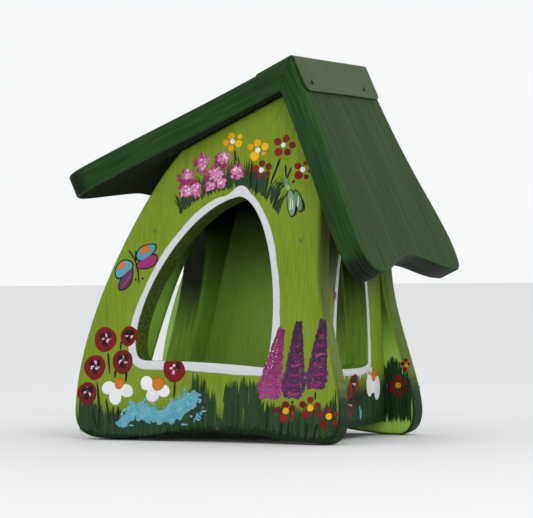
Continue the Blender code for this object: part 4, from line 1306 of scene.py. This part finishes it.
def rear_painting(sets, plane, seed, inside=True):
    """Grass and small red flowers on the rear panel: a bush in one corner inside, a row of them outside."""
    if inside:
        bush = shape_between((60, 70, 79, 84, 90, 96, 100), (36, 42, 54, 60, 56, 48, 36))
        sets["moss"] += grass(plane, 62.0, 97.5, 110, bush, seed, (1.0, 2.0),
                              foot=shape_between((60, 98), (7, 9)))
        sets["moss"] += grass(plane, 74.0, 97.8, 120, bush, seed + 1, (0.9, 1.8),
                              foot=shape_between((74, 86, 98), (34, 40, 24)))
        flowers = (((95.3, 52.5), 1.6, ((92.6, 53.5, 1.7), (95.4, 56.2, 1.6), (97.6, 53.6, 1.3),
                                        (94.6, 49.6, 1.7))),
                   ((88.0, 37.5), 2.4, ((83.6, 39.2, 2.6), (88.4, 43.2, 2.5), (92.8, 40.2, 2.5),
                                        (82.8, 33.8, 2.5), (88.0, 31.0, 2.2), (93.0, 34.0, 2.3))),)
        stems = (((93.6, 28.5), (94.3, 20.4)),)
    else:
        tips = shape_between((-112, -95, -60, -20, 10, 50, 80, 99), (44, 30, 38, 28, 40, 30, 36, 46))
        ground = shape_between((-112, -90, -55, -5, 45, 80, 98), (5, 1.5, 2, 8, 6.5, 1.5, 4))
        sets["moss"] += grass(plane, -110, 97.5, 300, tips, seed, foot=ground)
        spots = ((-84, 52), (-62, 64), (-20, 48), (18, 58), (58, 46), (82, 60))
        turns = np.linspace(0, 5.03, 5)
        flowers = [((a, b), 2.5, [(a + 5.6 * math.cos(t + b), b + 5.4 * math.sin(t + b), 2.6) for t in turns])
                   for a, b in spots]
        stems = [((a, b - 8), (a + 1.5, b - 26)) for a, b in spots]
    for number, (heart, size, petals) in enumerate(flowers):
        sort_paints(sets, dot_flower(plane, heart, size, petals, 2, seed + 3 + number), "red", "yellow")
    sets["black"] += lines(plane, stems, 1.3, 1, seed + 20)


PAINTS = {
    "moss": ("grass_green_paint", colour(18, 44, 22), colour(31, 62, 30), colour(48, 84, 38), None),
    "black": ("black_paint", colour(2, 3, 3), colour(6, 8, 6), colour(18, 22, 14), None),
    "red": ("poppy_red_paint", colour(98, 0, 6), colour(126, 2, 14), colour(156, 14, 28), None),
    "yellow": ("golden_yellow_paint", colour(232, 158, 0), colour(246, 174, 0), colour(255, 196, 4), None),
    "white": ("petal_white_paint", colour(232, 233, 236), colour(248, 249, 251), colour(255, 255, 255), None),
    "border": ("border_white_paint", colour(204, 208, 210), colour(226, 229, 231), colour(240, 242, 243),
               None),
    "orange": ("orange_paint", colour(204, 100, 16), colour(220, 124, 26), colour(236, 150, 40),
               colour(196, 96, 14)),
    "pink": ("rose_pink_paint", colour(120, 26, 84), colour(154, 54, 118), colour(188, 96, 152), None),
    "lilac": ("lilac_pink_paint", colour(188, 72, 134), colour(216, 122, 176), colour(238, 176, 210), None),
    "magenta": ("magenta_paint", colour(128, 22, 76), colour(164, 40, 104), colour(190, 70, 132), None),
    "violet": ("violet_paint", colour(52, 26, 58), colour(84, 38, 84), colour(120, 56, 114), None),
    "blue": ("sky_blue_paint", colour(62, 144, 172), colour(98, 174, 196), colour(146, 204, 216), None),
    "pale": ("pale_pink_paint", colour(212, 150, 182), colour(236, 214, 226), colour(246, 240, 244), None),
    "mint": ("mint_paint", colour(76, 124, 84), colour(124, 166, 118), colour(184, 208, 172), None),
}


def decorate():
    """Paints every board, with a white border round each opening, and makes one piece for each paint on
    each board."""
    finishes = {key: brush_paint(*paint) for key, paint in PAINTS.items()}
    boards = {"front": front_painting()}
    for name, plane, seed in (("right_wall", RIGHT_WALL, 300), ("left_wall", LEFT_WALL, 340)):
        boards[name] = {key: [] for key in PAINTS}
        wall_painting(plane, boards[name], seed)
    boards["rear_inside"] = {key: [] for key in PAINTS}
    rear_painting(boards["rear_inside"], REAR_INSIDE, 380)
    boards["rear_outside"] = {key: [] for key in PAINTS}
    rear_painting(boards["rear_outside"], REAR, 420, inside=False)
    arch = evenly(arch_outline(), 480)
    boards["front"]["border"] = [border(FRONT, arch, ARCH_CENTRE, border_width(4.6, 5.4, 5.6, 7.0, 1, 3.0))]
    for name, plane in (("right_wall", RIGHT_WALL), ("left_wall", LEFT_WALL)):
        window = evenly(window_outline(plane), 400)
        boards[name]["border"].append(border(plane, window, WINDOW_CENTRE,
                                             border_width(5.0, 4.0, 3.4, 5.0, 2)))
    for name, sets in boards.items():
        for key, skins in sets.items():
            if skins:
                piece(f"{name}_{key}", join(skins), [finishes[key]])


# ---------------------------------------------------------------- floor board, stage, lights and camera

def inner_floor():
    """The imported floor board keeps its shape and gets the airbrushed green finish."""
    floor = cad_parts["floor_panel"]
    material, tree, shader = new_finish("floor_board_paint", 0.6, 0.1)
    place = put(tree, "TexCoord", out=3)
    streak = grain(tree, place, (40.0, 700.0, 40.0), 4.0)
    shade = ramp(tree, streak, (0.3, colour(52, 84, 26)), (0.55, colour(72, 108, 32)),
                 (0.8, colour(96, 130, 44)))
    lay(tree, shader, shade)
    relief(tree, shader, streak, 0.0003)
    floor.data.materials.clear()
    floor.data.materials.append(material)


def stage():
    """A pale floor disc under the feet, as rings of points from its middle outwards at the object's lowest
    level, and a pale surround."""
    level = box_before[0][2]
    radius = np.array([0.4, 1.2, 3.0, 9.0, 30.0])
    turn = np.linspace(0.0, 2.0 * math.pi, 64, endpoint=False)
    ring = np.stack([radius[:, None] * np.cos(turn), radius[:, None] * np.sin(turn), np.full((5, 64), level)],
                    -1)
    quads, tris = ring_faces(5, 64)
    points = np.vstack([[(0.0, 0.0, level)], ring.reshape(-1, 3)])
    mesh = bpy.data.meshes.new("pale_floor")
    mesh.from_pydata(points.tolist(), [], quads[:, ::-1].tolist() + tris[:64, ::-1].tolist())
    floor = bpy.data.objects.new("pale_floor", mesh)
    bpy.context.scene.collection.objects.link(floor)
    material, _, shader = new_finish("pale_floor", 0.9, 0.1)
    shader.inputs["Base Color"].default_value = (0.80, 0.80, 0.80, 1.0)
    mesh.materials.append(material)
    world = bpy.data.worlds.new("pale_surround")
    world.use_nodes = True
    world.node_tree.nodes["Background"].inputs[0].default_value = (0.97, 0.985, 1.0, 1.0)
    world.node_tree.nodes["Background"].inputs[1].default_value = 0.95
    bpy.context.scene.world = world


def soft_light(name, place, aim, size, power, tint=(1.0, 1.0, 1.0)):
    """A round lamp of a given size, turned to its aim."""
    lamp = bpy.data.lights.new(name, "AREA")
    lamp.shape = "DISK"
    lamp.size = size
    lamp.energy = power
    lamp.color = tint
    thing = bpy.data.objects.new(name, lamp)
    thing.location = place
    thing.rotation_mode = "QUATERNION"
    thing.rotation_quaternion = (Vector(aim) - Vector(place)).to_track_quat("-Z", "Y")
    bpy.context.scene.collection.objects.link(thing)


def lights():
    """Three soft lamps: one high in front on the right, one lower in front on the left, one at the right
    side."""
    middle = (Vector(box_before[0]) + Vector(box_before[1])) / 2.0
    soft_light("window_light", middle + Vector((1.1, -1.1, 1.2)), middle, 1.0, 6.0, (1.0, 0.98, 0.95))
    soft_light("front_light", middle + Vector((-0.7, -1.7, 0.5)), middle, 1.1, 3.0)
    soft_light("right_light", middle + Vector((1.9, 0.3, 0.7)), middle, 0.9, 3.0, (0.96, 0.98, 1.0))


def camera():
    """Long lens, 27 degrees to the right of the front, a hair below level."""
    turn, rise, roll = math.radians(26.99), math.radians(0.325), math.radians(-0.338)
    aim = MIDDLE + RIDGE + np.array([-0.01542, -0.00782, -0.14291])
    ahead = np.array([-math.sin(turn) * math.cos(rise), math.cos(turn) * math.cos(rise), math.sin(rise)])
    right = np.array([math.cos(turn), math.sin(turn), 0.0])
    up = np.cross(right, ahead)
    side = math.cos(roll) * right + math.sin(roll) * up
    head = -math.sin(roll) * right + math.cos(roll) * up
    lens = bpy.data.cameras.new("long_lens")
    lens.lens = 182.02
    lens.sensor_width = 36.0
    lens.clip_start = 0.05
    lens.clip_end = 200.0
    thing = bpy.data.objects.new("long_lens", lens)
    place = aim - ahead * 1.9018
    thing.matrix_world = Matrix([(side[k], head[k], -ahead[k], place[k]) for k in range(3)] + [(0, 0, 0, 1)])
    bpy.context.scene.collection.objects.link(thing)
    bpy.context.scene.camera = thing


stage()
camera()
lights()
spots = nail_spots()
gable_panels()
side_walls()
roof_boards()
ridge_capping(spots)
nails(spots)
inner_floor()
decorate()
bpy.context.scene.view_settings.view_transform = "Standard"
